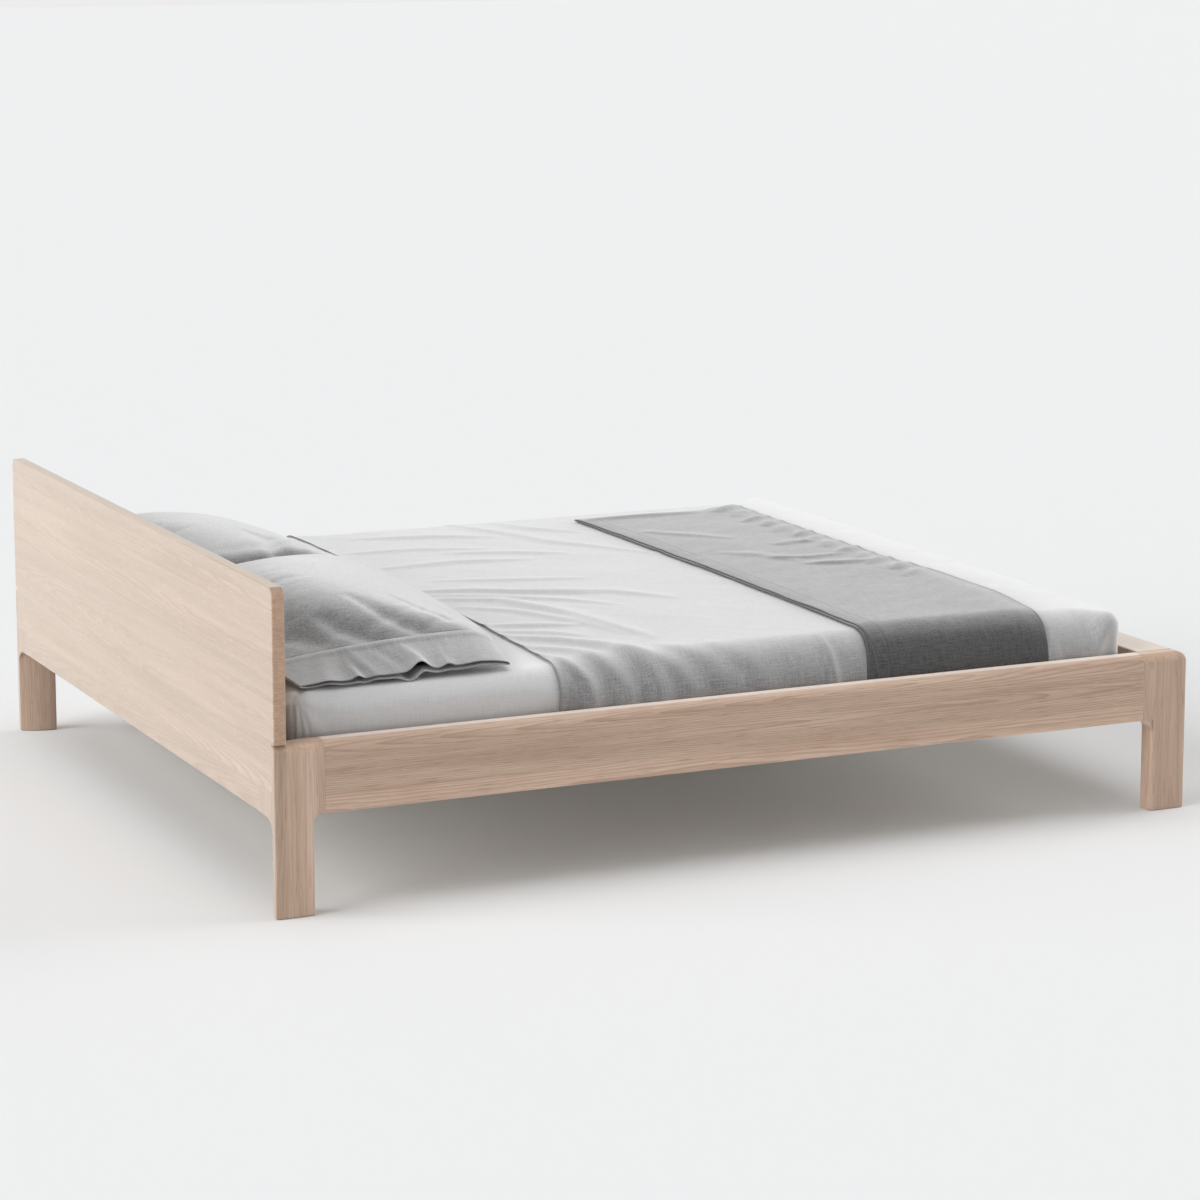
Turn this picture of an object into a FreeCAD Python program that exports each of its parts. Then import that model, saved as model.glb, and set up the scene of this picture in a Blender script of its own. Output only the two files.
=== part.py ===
import FreeCAD, Part
import math
import os

# Double bed in solid oak: a headboard panel between two legs, two side rails, a foot rail,
# a slatted base on ledges and a centre beam, and the mattress with its bedding.
# +X points to the foot end, +Y to the right-hand side, +Z up. The origin is on the floor,
# below the middle of the frame. Left is the -Y side. Lengths are in millimetres.

V = FreeCAD.Vector

# The mattress sets the size of the frame round it
mattress_length = 2000.0
mattress_width = 1790.0
mattress_thickness = 190.0
mattress_side_gap = 9.0
mattress_end_gap = 33.75

# Heights of the frame
headboard_height = 689.0
rail_top = 365.0
rail_bottom = 213.0
headboard_bottom = 207.0

# Timber sections
board_thickness = 43.5
panel_thickness = 27.0
head_leg_width = 85.0
foot_leg_width = 89.0
leg_ear = 24.0
leg_back_strip = 16.0
foot_rail_top_width = 105.5
foot_rail_flange = 28.0

# Rounded edges of the frame
outer_round = 20.0
edge_round = 3.0
joint_bevel = 0.8
leg_end_bevel = 1.5
foot_leg_inner_round = 10.0
panel_corner_round = 20.0
panel_edge_round = 2.5
rail_fillet = 18.0
foot_fillet = 24.0
gusset_fillet = 36.0
gusset_reach = 92.0
gusset_top = 265.0
gusset_sink = 1.0

# Slatted base
slat_count = 14
slat_thickness = 18.0
slat_width = 78.0
slat_end_gap = 4.0
slat_edge_round = 4.0
slat_first_inset = 22.0
base_depth = 114.0
seat_gap = 0.3
side_ledge_width = 30.0
side_ledge_height = 30.0
end_ledge_thickness = 24.0
ledge_end_gap = 12.0
tape_width = 40.0
tape_thickness = 1.2
tape_inset = 150.0
beam_width = 44.0
beam_height = 50.0
beam_end_gap = 2.0
hanger_sheet = 2.5
hanger_reach = 60.0
hanger_wing = 28.0
hanger_cheek = 34.0
centre_leg_size = 50.0
centre_leg_round = 6.0
leg_plate_thickness = 3.0
leg_plate_length = 110.0

# Adjustable foot under the centre leg
leveller_travel = 12.0
leveller_pad_radius = 20.0
leveller_pad_height = 8.0
leveller_stem_radius = 5.0
leveller_stem_length = 46.0
leveller_sleeve_radius = 9.0
leveller_sleeve_length = 30.0
leveller_flange_radius = 14.0
leveller_flange_height = 2.0
running_clearance = 0.08

# Knock-down rail fittings and fasteners
plate_width = 20.0
plate_height = 104.0
plate_sheet = 2.5
plate_rise = 24.0
hook_width = 5.0
hook_reach = 13.0
hook_height = 20.0
hook_drop = 8.0
hook_lip = 5.0
hook_pitch = 52.0
hook_rise = 22.0
slot_clearance = 1.0
screw_radius = 2.0
screw_head_radius = 4.0
screw_head_height = 2.4
screw_length = 34.0
screw_clearance = 0.1
ledge_screw_length = 50.0
ledge_screw_pitch = 280.0
ledge_screw_inset = 60.0
hanger_screw_length = 20.0
dowel_radius = 4.0
dowel_length = 40.0
rail_dowel_radius = 5.0
rail_dowel_length = 60.0
dowel_clearance = 0.05
dowel_end_room = 1.0
glide_radius = 12.0
glide_height = 5.0
glide_proud = 1.0
glide_inset = 20.0

# Form of the mattress
mattress_crown = 4.0
mattress_draw_in = 3.0
mattress_top_round = 42.0
mattress_bottom_round = 26.0
mattress_end_round = 46.0
cap_depth_shares = (0.0, 0.06, 0.22, 0.52, 1.0)

# Cover sheet over the mattress
cover_gap = 0.3
cover_thickness = 1.5
cover_head_inset = 602.0
cover_hem_rise = 30.0

# Blanket, folded double across the foot half
blanket_layer = 3.0
blanket_width = 492.0
blanket_step = 16.0
blanket_foot_inset = 169.0
blanket_side_inset = 190.0
blanket_hem_rise = 40.0
blanket_slit = 0.6
blanket_slit_depth = 90.0

# Pillows, each in a case that is open at its outer end; the shares run from the open end
pillow_seam = 6.0
pillow_back_gap = 8.0
pillow_left_depth = 620.0
pillow_left_height = 172.0
pillow_left_inset = 15.0
pillow_right_depth = 590.0
pillow_right_height = 148.0
pillow_right_inset = 10.0
pillow_gap = 23.0
pillow_split = 43.5
pillow_rest_share = 0.36
pillow_place_shares = (0.0, 0.055, 0.131, 0.173, 0.276, 0.42, 0.587, 0.753, 0.876, 0.959, 1.0)
pillow_front_shares = (0.15, 0.148, 0.137, 0.121, 0.089, 0.04, 0.016, 0.01, 0.026, 0.07, 0.12)
pillow_back_shares = (0.07, 0.06, 0.04, 0.03, 0.01, 0.0, 0.0, 0.0, 0.02, 0.05, 0.09)
pillow_crest_place_shares = (0.45, 0.42, 0.36, 0.32, 0.30, 0.30, 0.31, 0.42, 0.56, 0.66, 0.70)
pillow_crest_shares = (0.08, 0.15, 0.27, 0.44, 0.74, 0.93, 0.98, 0.84, 0.72, 0.60, 0.36)
pillow_front_rise_shares = (0.02, 0.05, 0.12, 0.13, 0.13, 0.13, 0.13, 0.13, 0.13, 0.14, 0.12)
pillow_back_rise_shares = (0.03, 0.08, 0.15, 0.22, 0.30, 0.36, 0.38, 0.36, 0.32, 0.28, 0.22)

# One overrun serves every cut, and one tolerance finds edges by their places
overrun = 5.0
pick_tolerance = 0.1

# Places worked out from the sizes above
bed_length = panel_thickness + mattress_length + mattress_end_gap * 2 + foot_rail_top_width
bed_width = mattress_width + mattress_side_gap * 2 + board_thickness * 2
half_length = bed_length / 2
half_width = bed_width / 2
rail_inner = half_width - board_thickness
panel_inner = -half_length + panel_thickness
head_leg_front = -half_length + head_leg_width
head_joint = head_leg_front + leg_ear
foot_leg_back = half_length - foot_leg_width
foot_joint = foot_leg_back - leg_ear
foot_rail_inner = half_length - foot_rail_top_width
foot_web_inner = half_length - board_thickness
strip_inner = half_width - leg_back_strip
slat_bottom = rail_top - base_depth
slat_top = slat_bottom + slat_thickness
mattress_bottom = slat_top + tape_thickness + seat_gap
mattress_top = mattress_bottom + mattress_thickness
ledge_inner = rail_inner - side_ledge_width
head_ledge_front = panel_inner + end_ledge_thickness
foot_ledge_front = foot_web_inner - end_ledge_thickness
mattress_head = panel_inner + mattress_end_gap
mattress_foot = mattress_head + mattress_length
mattress_side = mattress_width / 2


def box(x0, x1, y0, y1, z0, z1):
    """A block between two corners."""
    return Part.makeBox(x1 - x0, y1 - y0, z1 - z0, V(x0, y0, z0))


def cylinder(radius, length, base, direction):
    return Part.makeCylinder(radius, length, base, direction)


def face_of(edges):
    return Part.Face(Part.Wire(edges))


def arc(start, middle, end):
    return Part.Arc(start, middle, end).toShape()


def line(start, end):
    return Part.makeLine(start, end)


def mirrored(shape):
    """The same piece on the other side of the bed."""
    return shape.mirror(V(0, 0, 0), V(0, 1, 0))


def at_middle_of(edge, fixed):
    """True where every named coordinate of the edge's middle has the given value."""
    middle = edge.valueAt((edge.FirstParameter + edge.LastParameter) / 2)
    return all(abs(getattr(middle, axis) - value) < pick_tolerance
               for axis, value in fixed.items())


def rounded(shape, radius, *places):
    """Rounds the straight edges whose middles lie at the given places."""
    edges = []
    for edge in shape.Edges:
        if any(at_middle_of(edge, fixed) for fixed in places):
            edges.append(edge)
    return shape.makeFillet(radius, edges)


def bevelled(shape, size, axis, value):
    """Bevels every edge that lies in the plane where the named coordinate has the value."""
    edges = []
    for edge in shape.Edges:
        bounds = [getattr(vertex.Point, axis) for vertex in edge.Vertexes]
        flat = all(abs(bound - value) < pick_tolerance for bound in bounds)
        if flat and at_middle_of(edge, {axis: value}):
            edges.append(edge)
    return shape.makeChamfer(size, edges)


def fillet_block(corner, along, down, across, radius):
    """A block with one concave quarter round, to fill an inner corner.

    corner is where the two faces meet, along and down are the unit directions of the faces,
    and across is the block's thickness as a vector.
    """
    a = corner + along * radius
    b = corner + down * radius
    centre = corner + along * radius + down * radius
    bulge = centre - (along + down) * (radius / math.sqrt(2))
    profile = face_of([line(corner, a), arc(a, bulge, b), line(b, corner)])
    return profile.extrude(across)


def one_solid(shape):
    """Joins faces that lie in one surface and returns the piece as a single solid."""
    clean = shape.removeSplitter()
    if len(clean.Solids) == 1:
        return clean.Solids[0]
    return clean


def screw(length, tip, direction):
    """Countersunk screw whose head face starts at tip and whose shank runs along direction."""
    head = Part.makeCone(screw_head_radius, screw_radius, screw_head_height, tip, direction)
    shank = cylinder(screw_radius, length - screw_head_height,
                     tip + direction * screw_head_height, direction)
    return head.fuse(shank)


def screw_hole(length, tip, direction):
    """The room that the same screw needs, with its clearance all round."""
    head = Part.makeCone(screw_head_radius + screw_clearance, screw_radius + screw_clearance,
                         screw_head_height, tip, direction)
    shank = cylinder(screw_radius + screw_clearance,
                     length - screw_head_height + screw_clearance,
                     tip + direction * screw_head_height, direction)
    return head.fuse(shank)


def dowel(radius, length, middle, direction):
    start = middle - direction * (length / 2)
    pin = cylinder(radius, length, start, direction)
    return pin.makeChamfer(radius / 4, [e for e in pin.Edges if len(e.Vertexes) == 1])


def dowel_hole(radius, length, middle, direction):
    depth = length + dowel_end_room
    return cylinder(radius + dowel_clearance, depth, middle - direction * (depth / 2), direction)


# Fastener places

def ledge_screws(hole=False):
    """Screws through both side ledges into the rails, and through the end ledges."""
    make = screw_hole if hole else screw
    shapes = []
    height = slat_bottom - side_ledge_height / 2
    first = head_joint + ledge_end_gap + ledge_screw_inset
    last = foot_joint - ledge_end_gap - ledge_screw_inset
    count = int((last - first) / ledge_screw_pitch) + 1
    for i in range(count + 1):
        x = first + (last - first) * i / count
        shapes.append(make(ledge_screw_length, V(x, ledge_inner, height), V(0, 1, 0)))
        shapes.append(make(ledge_screw_length, V(x, -ledge_inner, height), V(0, -1, 0)))
    reach = end_ledge_length() / 2 - ledge_screw_inset
    height = (rail_bottom + slat_bottom) / 2
    spans = int(reach * 2 / ledge_screw_pitch) // 2 * 2 + 1
    for i in range(spans + 1):
        y = -reach + reach * 2 * i / spans
        shapes.append(make(screw_length, V(head_ledge_front, y, height), V(-1, 0, 0)))
        shapes.append(make(ledge_screw_length, V(foot_ledge_front, y, height), V(1, 0, 0)))
    return shapes


def end_ledge_length():
    return (ledge_inner - ledge_end_gap) * 2


def hanger_screws(hole=False):
    """Four screws hold the wings of each beam hanger to its end ledge."""
    make = screw_hole if hole else screw
    shapes = []
    wing = beam_width / 2 + hanger_sheet + seat_gap + hanger_wing / 2
    quarter = (slat_bottom - rail_bottom) / 4
    for side in (-1, 1):
        for step in (1, 3):
            z = rail_bottom + quarter * step
            head = V(head_ledge_front + hanger_sheet, wing * side, z)
            foot = V(foot_ledge_front - hanger_sheet, wing * side, z)
            shapes.append(make(hanger_screw_length, head, V(-1, 0, 0)))
            shapes.append(make(hanger_screw_length, foot, V(1, 0, 0)))
    return shapes


def rail_joints():
    """Each rail joint: place of the joint plane, side, and direction into the leg."""
    for side in (-1, 1):
        yield head_joint, side, -1
        yield foot_joint, side, 1


def plate_screws(hole=False):
    """Screws of the hook plates go into the rails, those of the slotted plates into the legs."""
    make = screw_hole if hole else screw
    shapes = []
    y = half_width - board_thickness / 2
    bottom = rail_bottom + plate_rise
    for x, side, inward in rail_joints():
        for end in (0, 1):
            z = bottom + screw_head_radius * 2 + end * (plate_height - screw_head_radius * 4)
            shapes.append(make(screw_length, V(x, y * side, z), V(-inward, 0, 0)))
            shapes.append(make(screw_length, V(x, y * side, z), V(inward, 0, 0)))
    return shapes


def head_dowels(hole=False):
    """Dowels from the headboard panel into the legs and down into their gussets."""
    make = dowel_hole if hole else dowel
    shapes = []
    y = strip_inner - dowel_radius * 2
    for side in (-1, 1):
        for level in (1, 2, 3):
            z = gusset_top + (rail_top - gusset_top) * level / 4
            middle = V(panel_inner - dowel_radius, y * side, z)
            shapes.append(make(dowel_radius, dowel_length, middle, V(1, 0, 0)))
        for step in (1, 2):
            reach = half_width - gusset_reach + (gusset_reach - leg_back_strip) * step / 3
            middle = V(panel_inner - panel_thickness / 2, reach * side, gusset_top)
            shapes.append(make(dowel_radius, dowel_length, middle, V(0, 0, 1)))
    return shapes


def foot_dowels(hole=False):
    """Dowels from the foot rail into the foot legs."""
    make = dowel_hole if hole else dowel
    shapes = []
    for side in (-1, 1):
        for level in (1, 2, 3):
            z = rail_bottom + (rail_top - rail_bottom) * level / 4
            middle = V(half_length - board_thickness / 2, rail_inner * side, z)
            shapes.append(make(rail_dowel_radius, rail_dowel_length, middle, V(0, 1, 0)))
        flange_x = (foot_leg_back + foot_web_inner) / 2
        middle = V(flange_x, rail_inner * side, rail_top - foot_rail_flange / 2)
        shapes.append(make(rail_dowel_radius, rail_dowel_length, middle, V(0, 1, 0)))
    return shapes


def cut_all(piece, tools):
    return piece.cut(Part.makeCompound(tools))


# Rail fittings

def hook_profile(x, inward, z, grow):
    """Side view of one hook: an arm that enters the leg and a lip that drops behind the slot."""
    root = x
    tip = x + inward * (hook_reach + grow)
    lip = x + inward * (hook_reach - hook_lip - grow)
    top = z + hook_height + grow
    points = [V(root, 0, z - grow), V(lip, 0, z - grow), V(lip, 0, z - hook_drop - grow),
              V(tip, 0, z - hook_drop - grow), V(tip, 0, top - hook_lip),
              V(tip - inward * hook_lip, 0, top), V(root, 0, top), V(root, 0, z - grow)]
    return Part.Face(Part.makePolygon(points))


def hook_solids(x, side, inward, grow):
    y = (half_width - board_thickness / 2) * side
    width = hook_width + grow * 2
    shapes = []
    for i in (0, 1):
        z = rail_bottom + plate_rise + hook_rise + hook_pitch * i
        profile = hook_profile(x, inward, z, grow)
        profile.translate(V(0, y - width / 2, 0))
        shapes.append(profile.extrude(V(0, width, 0)))
    return shapes


def plate_block(x, side, depth_from, depth_to, grow):
    """The space of a fitting plate, measured from the joint plane x along X."""
    y = (half_width - board_thickness / 2) * side
    reach = plate_width / 2 + grow
    bottom = rail_bottom + plate_rise - grow
    low, high = sorted((x + depth_from, x + depth_to))
    top = rail_bottom + plate_rise + plate_height + grow
    return box(low, high, y - reach, y + reach, bottom, top)


def rail_hooks():
    """A steel plate with two hooks, let into each end of both side rails."""
    plates = []
    for x, side, inward in rail_joints():
        plate = plate_block(x, side, -inward * plate_sheet, 0, 0)
        hooks = hook_solids(x, side, inward, 0)
        plates.append(cut_all(plate.fuse(hooks), plate_screws(hole=True)).removeSplitter())
    return Part.makeCompound(plates)


def rail_sockets():
    """A slotted steel plate, let into the ear of each leg, that the hooks drop behind."""
    plates = []
    for x, side, inward in rail_joints():
        plate = plate_block(x, side, 0, inward * plate_sheet, 0)
        y = (half_width - board_thickness / 2) * side
        reach = hook_width / 2 + slot_clearance
        for i in (0, 1):
            z = rail_bottom + plate_rise + hook_rise + hook_pitch * i
            plate = plate.cut(box(x - overrun, x + overrun, y - reach, y + reach,
                                  z - hook_drop - slot_clearance, z + hook_height + slot_clearance))
        plates.append(cut_all(plate, plate_screws(hole=True)))
    return Part.makeCompound(plates)


def leg_pockets(x, side, inward):
    """The recess for a slotted plate and the pockets that its hooks need in the leg."""
    pockets = [plate_block(x, side, -inward * overrun, inward * plate_sheet, 0)]
    y = (half_width - board_thickness / 2) * side
    reach = hook_width / 2 + slot_clearance
    deep = x + inward * (hook_reach + slot_clearance)
    low, high = sorted((x, deep))
    for i in (0, 1):
        z = rail_bottom + plate_rise + hook_rise + hook_pitch * i
        pockets.append(box(low, high, y - reach, y + reach,
                           z - hook_drop - slot_clearance, z + hook_height + slot_clearance))
    return pockets


# Frame

def gusset():
    """The wing at the back of a head leg, which starts inside the leg and ends in a hollow."""
    start = leg_back_strip - gusset_sink
    low = headboard_bottom - gusset_fillet
    centre = V(0, start + gusset_fillet, low)
    slant = gusset_fillet * math.sqrt(1 / 2)
    corners = [V(0, start, low), V(0, start, gusset_top), V(0, gusset_reach, gusset_top),
               V(0, gusset_reach, headboard_bottom), V(0, centre.y, headboard_bottom)]
    edges = [line(a, b) for a, b in zip(corners, corners[1:])]
    edges.append(arc(corners[-1], centre + V(0, -slant, slant), corners[0]))
    return face_of(edges).extrude(V(panel_thickness, 0, 0))


def head_leg():
    """Left head leg: flat outside, curved inside, with an ear for the rail and a gusset.

    It is built from its outer back edge and moved to its corner at the end.
    """
    run, depth = head_leg_width, board_thickness
    bulge = depth - leg_back_strip
    curve_radius = (run ** 2 + bulge ** 2) / (bulge * 2)
    middle = V(run / 2, depth - curve_radius + math.sqrt(curve_radius ** 2 - run ** 2 / 4), 0)
    corners = [V(0, 0, 0), V(run, 0, 0), V(run, depth, 0), V(0, leg_back_strip, 0)]
    section = face_of([line(corners[0], corners[1]), line(corners[1], corners[2]),
                       arc(corners[2], middle, corners[3]), line(corners[3], corners[0])])
    section.translate(V(0, 0, glide_proud))
    post = section.extrude(V(0, 0, rail_top - glide_proud))
    ear = box(run, run + leg_ear, 0, depth, rail_bottom, rail_top)
    under_ear = fillet_block(V(run, 0, rail_bottom), V(1, 0, 0), V(0, 0, -1),
                             V(0, depth, 0), rail_fillet)
    leg = one_solid(post.fuse([ear, under_ear]))
    leg = rounded(leg, outer_round, {"y": 0, "z": rail_top})
    leg = rounded(leg, edge_round, {"x": run, "y": 0}, {"x": run, "y": depth},
                  {"x": 0, "y": 0}, {"y": depth, "z": rail_top})
    leg = bevelled(leg, joint_bevel, "x", run + leg_ear)
    leg = bevelled(leg, leg_end_bevel, "z", glide_proud)
    rebate = box(-overrun, panel_thickness, leg_back_strip, depth + overrun,
                 gusset_top, rail_top + overrun)
    leg = one_solid(leg.cut(rebate).fuse(gusset()))
    return leg.translated(V(-half_length, -half_width, 0))


def foot_leg():
    """Left foot leg: a square post whose outer top edges are rounded over, with an ear.

    It is built from its outer edge beside the rail and moved to its corner at the end.
    """
    run, depth = foot_leg_width, board_thickness
    post = box(0, run, 0, depth, glide_proud, rail_top)
    post = rounded(post, foot_leg_inner_round, {"x": 0, "y": 0})
    ear = box(-leg_ear, foot_leg_inner_round, 0, depth, rail_bottom, rail_top)
    under_ear = fillet_block(V(0, 0, rail_bottom), V(-1, 0, 0), V(0, 0, -1),
                             V(0, depth, 0), foot_fillet)
    leg = one_solid(one_solid(post.fuse(ear)).fuse(under_ear))
    leg = rounded(leg, outer_round, {"y": 0, "z": rail_top}, {"x": run, "z": rail_top})
    leg = rounded(leg, edge_round, {"x": run, "y": 0}, {"x": run, "y": depth},
                  {"x": 0, "y": depth})
    leg = bevelled(leg, joint_bevel, "x", -leg_ear)
    leg = bevelled(leg, leg_end_bevel, "z", glide_proud)
    return leg.translated(V(foot_leg_back, -half_width, 0))


def finished_leg(leg, x, inward, foot_x, foot_y):
    """Bores the fitting pockets, the screw and dowel holes and the seat of the glide."""
    tools = leg_pockets(x, -1, inward) + plate_screws(hole=True)
    tools += head_dowels(hole=True) + foot_dowels(hole=True)
    seat = V(foot_x, foot_y, glide_proud - overrun)
    depth = glide_height - glide_proud + overrun
    tools.append(cylinder(glide_radius + dowel_clearance, depth, seat, V(0, 0, 1)))
    return cut_all(leg, tools)


def headboard_panel():
    """The headboard slab, with rounded top corners and a notch for each leg and gusset."""
    half, step = half_width, strip_inner
    reach = half_width - gusset_reach
    r = panel_corner_round
    lean = r * (1 - math.sqrt(0.5))
    top = headboard_height
    edges = []
    points = [V(0, -reach, headboard_bottom), V(0, -reach, gusset_top), V(0, -step, gusset_top),
              V(0, -step, rail_top), V(0, -half, rail_top), V(0, -half, top - r)]
    for a, b in zip(points, points[1:]):
        edges.append(line(a, b))
        edges.append(line(V(0, -a.y, a.z), V(0, -b.y, b.z)))
    for side in (-1, 1):
        edges.append(arc(V(0, half * side, top - r), V(0, (half - lean) * side, top - lean),
                         V(0, (half - r) * side, top)))
    edges.append(line(V(0, r - half, top), V(0, half - r, top)))
    edges.append(line(V(0, -reach, headboard_bottom), V(0, reach, headboard_bottom)))
    outline = Part.Face(Part.Wire(Part.__sortEdges__(edges)))
    slab = outline.extrude(V(panel_thickness, 0, 0))
    slab.translate(V(-half_length, 0, 0))
    soft = []
    for edge in slab.Edges:
        middle = edge.valueAt((edge.FirstParameter + edge.LastParameter) / 2)
        on_face = min(abs(middle.x + half_length), abs(middle.x - panel_inner)) < pick_tolerance
        if on_face and middle.z > top - r - overrun:
            soft.append(edge)
        elif on_face and abs(abs(middle.y) - half) < pick_tolerance and middle.z > rail_top:
            soft.append(edge)
        elif on_face and abs(middle.z - headboard_bottom) < pick_tolerance:
            soft.append(edge)
    slab = slab.makeFillet(panel_edge_round, soft)
    return cut_all(slab, head_dowels(hole=True) + ledge_screws(hole=True))


def side_rail():
    """Left side rail, rounded over along its outer top edge."""
    rail = box(head_joint, foot_joint, -half_width, -rail_inner, rail_bottom, rail_top)
    rail = rounded(rail, outer_round, {"y": -half_width, "z": rail_top})
    rail = rounded(rail, edge_round, {"y": -rail_inner, "z": rail_top},
                   {"y": -half_width, "z": rail_bottom}, {"y": -rail_inner, "z": rail_bottom})
    rail = bevelled(rail, joint_bevel, "x", head_joint)
    rail = bevelled(rail, joint_bevel, "x", foot_joint)
    tools = ledge_screws(hole=True) + plate_screws(hole=True)
    for x, side, inward in rail_joints():
        tools.append(plate_block(x, side, -inward * plate_sheet, inward * overrun, 0))
    return cut_all(rail, tools)


def foot_rail():
    """The foot rail: a web with a wide top, which reaches in over the end of the base."""
    web = box(foot_web_inner, half_length, -rail_inner, rail_inner, rail_bottom, rail_top)
    flange = box(foot_rail_inner, foot_web_inner, -rail_inner, rail_inner,
                 rail_top - foot_rail_flange, rail_top)
    rail = one_solid(web.fuse(flange))
    rail = rounded(rail, outer_round, {"x": half_length, "z": rail_top})
    rail = rounded(rail, edge_round, {"x": foot_rail_inner, "z": rail_top},
                   {"x": foot_rail_inner, "z": rail_top - foot_rail_flange},
                   {"x": foot_web_inner, "z": rail_bottom}, {"x": half_length, "z": rail_bottom})
    inner_corner = fillet_block(V(foot_web_inner, -rail_inner, rail_top - foot_rail_flange),
                                V(-1, 0, 0), V(0, 0, -1), V(0, rail_inner * 2, 0),
                                foot_leg_inner_round)
    rail = one_solid(rail.fuse(inner_corner))
    return cut_all(rail, foot_dowels(hole=True) + ledge_screws(hole=True))


# Slatted base

def side_ledge():
    ledge = box(head_joint + ledge_end_gap, foot_joint - ledge_end_gap, -rail_inner, -ledge_inner,
                slat_bottom - side_ledge_height, slat_bottom)
    ledge = rounded(ledge, edge_round, {"y": -ledge_inner, "z": slat_bottom - side_ledge_height})
    return cut_all(ledge, ledge_screws(hole=True))


def end_ledge(x0, x1, free_x):
    """A ledge across the head or foot end; free_x is its face towards the slats."""
    reach = end_ledge_length() / 2
    ledge = box(x0, x1, -reach, reach, rail_bottom, slat_bottom)
    ledge = rounded(ledge, edge_round, {"x": free_x, "z": rail_bottom})
    return cut_all(ledge, ledge_screws(hole=True) + hanger_screws(hole=True))


def centre_beam():
    start = head_ledge_front + hanger_sheet + beam_end_gap
    end = foot_ledge_front - hanger_sheet - beam_end_gap
    beam = box(start, end, -beam_width / 2, beam_width / 2, slat_bottom - beam_height, slat_bottom)
    beam = rounded(beam, edge_round, {"y": beam_width / 2, "z": slat_bottom - beam_height},
                   {"y": -beam_width / 2, "z": slat_bottom - beam_height})
    return cut_all(beam, leg_plate_screws(hole=True))


def beam_hanger(face_x, inward):
    """A folded steel shoe: a floor under the beam, two cheeks and two screwed wings."""
    near = face_x
    sheet = near + inward * hanger_sheet
    far = near + inward * hanger_reach
    half = beam_width / 2 + seat_gap
    bottom = slat_bottom - beam_height
    cheek_top = bottom + hanger_cheek

    def span(a, b, y0, y1, z0, z1):
        low, high = sorted((a, b))
        return box(low, high, y0, y1, z0, z1)

    floor = span(near, far, -half - hanger_sheet, half + hanger_sheet, bottom - hanger_sheet, bottom)
    pieces = [floor]
    for side in (-1, 1):
        y0, y1 = sorted((half * side, (half + hanger_sheet) * side))
        pieces.append(span(near, far, y0, y1, bottom - hanger_sheet, cheek_top))
        pieces.append(span(near, sheet, y0, y1, bottom - hanger_sheet, slat_bottom))
        y0, y1 = sorted((half * side, (half + hanger_sheet + hanger_wing) * side))
        pieces.append(span(near, sheet, y0, y1, rail_bottom, slat_bottom))
    shoe = one_solid(pieces[0].fuse(pieces[1:]))
    return cut_all(shoe, hanger_screws(hole=True))


def centre_leg():
    """The post under the middle of the beam, with a bore for the leveller's sleeve."""
    half = centre_leg_size / 2
    top = slat_bottom - beam_height - leg_plate_thickness
    bottom = leveller_pad_height + leveller_travel + leveller_flange_height
    post = box(-half, half, -half, half, bottom, top)
    corners = [{"x": x, "y": y} for x in (-half, half) for y in (-half, half)]
    post = rounded(post, centre_leg_round, *corners)
    sleeve = cylinder(leveller_sleeve_radius + dowel_clearance, leveller_sleeve_length,
                      V(0, 0, bottom), V(0, 0, 1))
    room = cylinder(leveller_stem_radius + slot_clearance, leveller_stem_length,
                    V(0, 0, bottom), V(0, 0, 1))
    return cut_all(post, [sleeve, room] + leg_plate_screws(hole=True))


def leg_plate():
    """A steel plate on top of the centre leg, screwed up into the beam."""
    z = slat_bottom - beam_height - leg_plate_thickness
    half = leg_plate_length / 2
    plate = box(-half, half, -beam_width / 2, beam_width / 2, z, z + leg_plate_thickness)
    corners = [{"x": x, "y": y} for x in (-half, half) for y in (-beam_width / 2, beam_width / 2)]
    plate = rounded(plate, centre_leg_round, *corners)
    return cut_all(plate, leg_plate_screws(hole=True))


def leg_plate_screws(hole=False):
    """Two screws up into the beam beside the leg, two down into the leg's end grain."""
    make = screw_hole if hole else screw
    bottom = slat_bottom - beam_height - leg_plate_thickness
    outside = (centre_leg_size + leg_plate_length) / 4
    inside = centre_leg_size / 4
    shapes = []
    for side in (-1, 1):
        shapes.append(make(hanger_screw_length, V(outside * side, 0, bottom), V(0, 0, 1)))
        shapes.append(make(screw_length, V(inside * side, 0, bottom + leg_plate_thickness),
                           V(0, 0, -1)))
    return shapes


def leveller_sleeve():
    """Flanged sleeve pressed into the centre leg."""
    base = leveller_pad_height + leveller_travel
    flange = cylinder(leveller_flange_radius, leveller_flange_height, V(0, 0, base), V(0, 0, 1))
    body = cylinder(leveller_sleeve_radius, leveller_sleeve_length,
                    V(0, 0, base + leveller_flange_height), V(0, 0, 1))
    bore = cylinder(leveller_stem_radius + running_clearance,
                    leveller_sleeve_length + leveller_flange_height + overrun * 2,
                    V(0, 0, base - overrun), V(0, 0, 1))
    return flange.fuse(body).cut(bore).removeSplitter()


def leveller_foot():
    """The adjustable foot: a round pad with a hexagon above it and its stem."""
    pad = cylinder(leveller_pad_radius, leveller_pad_height, V(0, 0, 0), V(0, 0, 1))
    rims = [e for e in pad.Edges if len(e.Vertexes) == 1]
    pad = pad.makeFillet(leveller_pad_height / 4, rims)
    stem = cylinder(leveller_stem_radius, leveller_stem_length,
                    V(0, 0, leveller_pad_height), V(0, 0, 1))
    tip = [e for e in stem.Edges if len(e.Vertexes) == 1 and e.BoundBox.ZMin > leveller_pad_height]
    stem = stem.makeChamfer(leveller_stem_radius / 4, tip)
    return pad.fuse(stem).removeSplitter()


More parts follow.
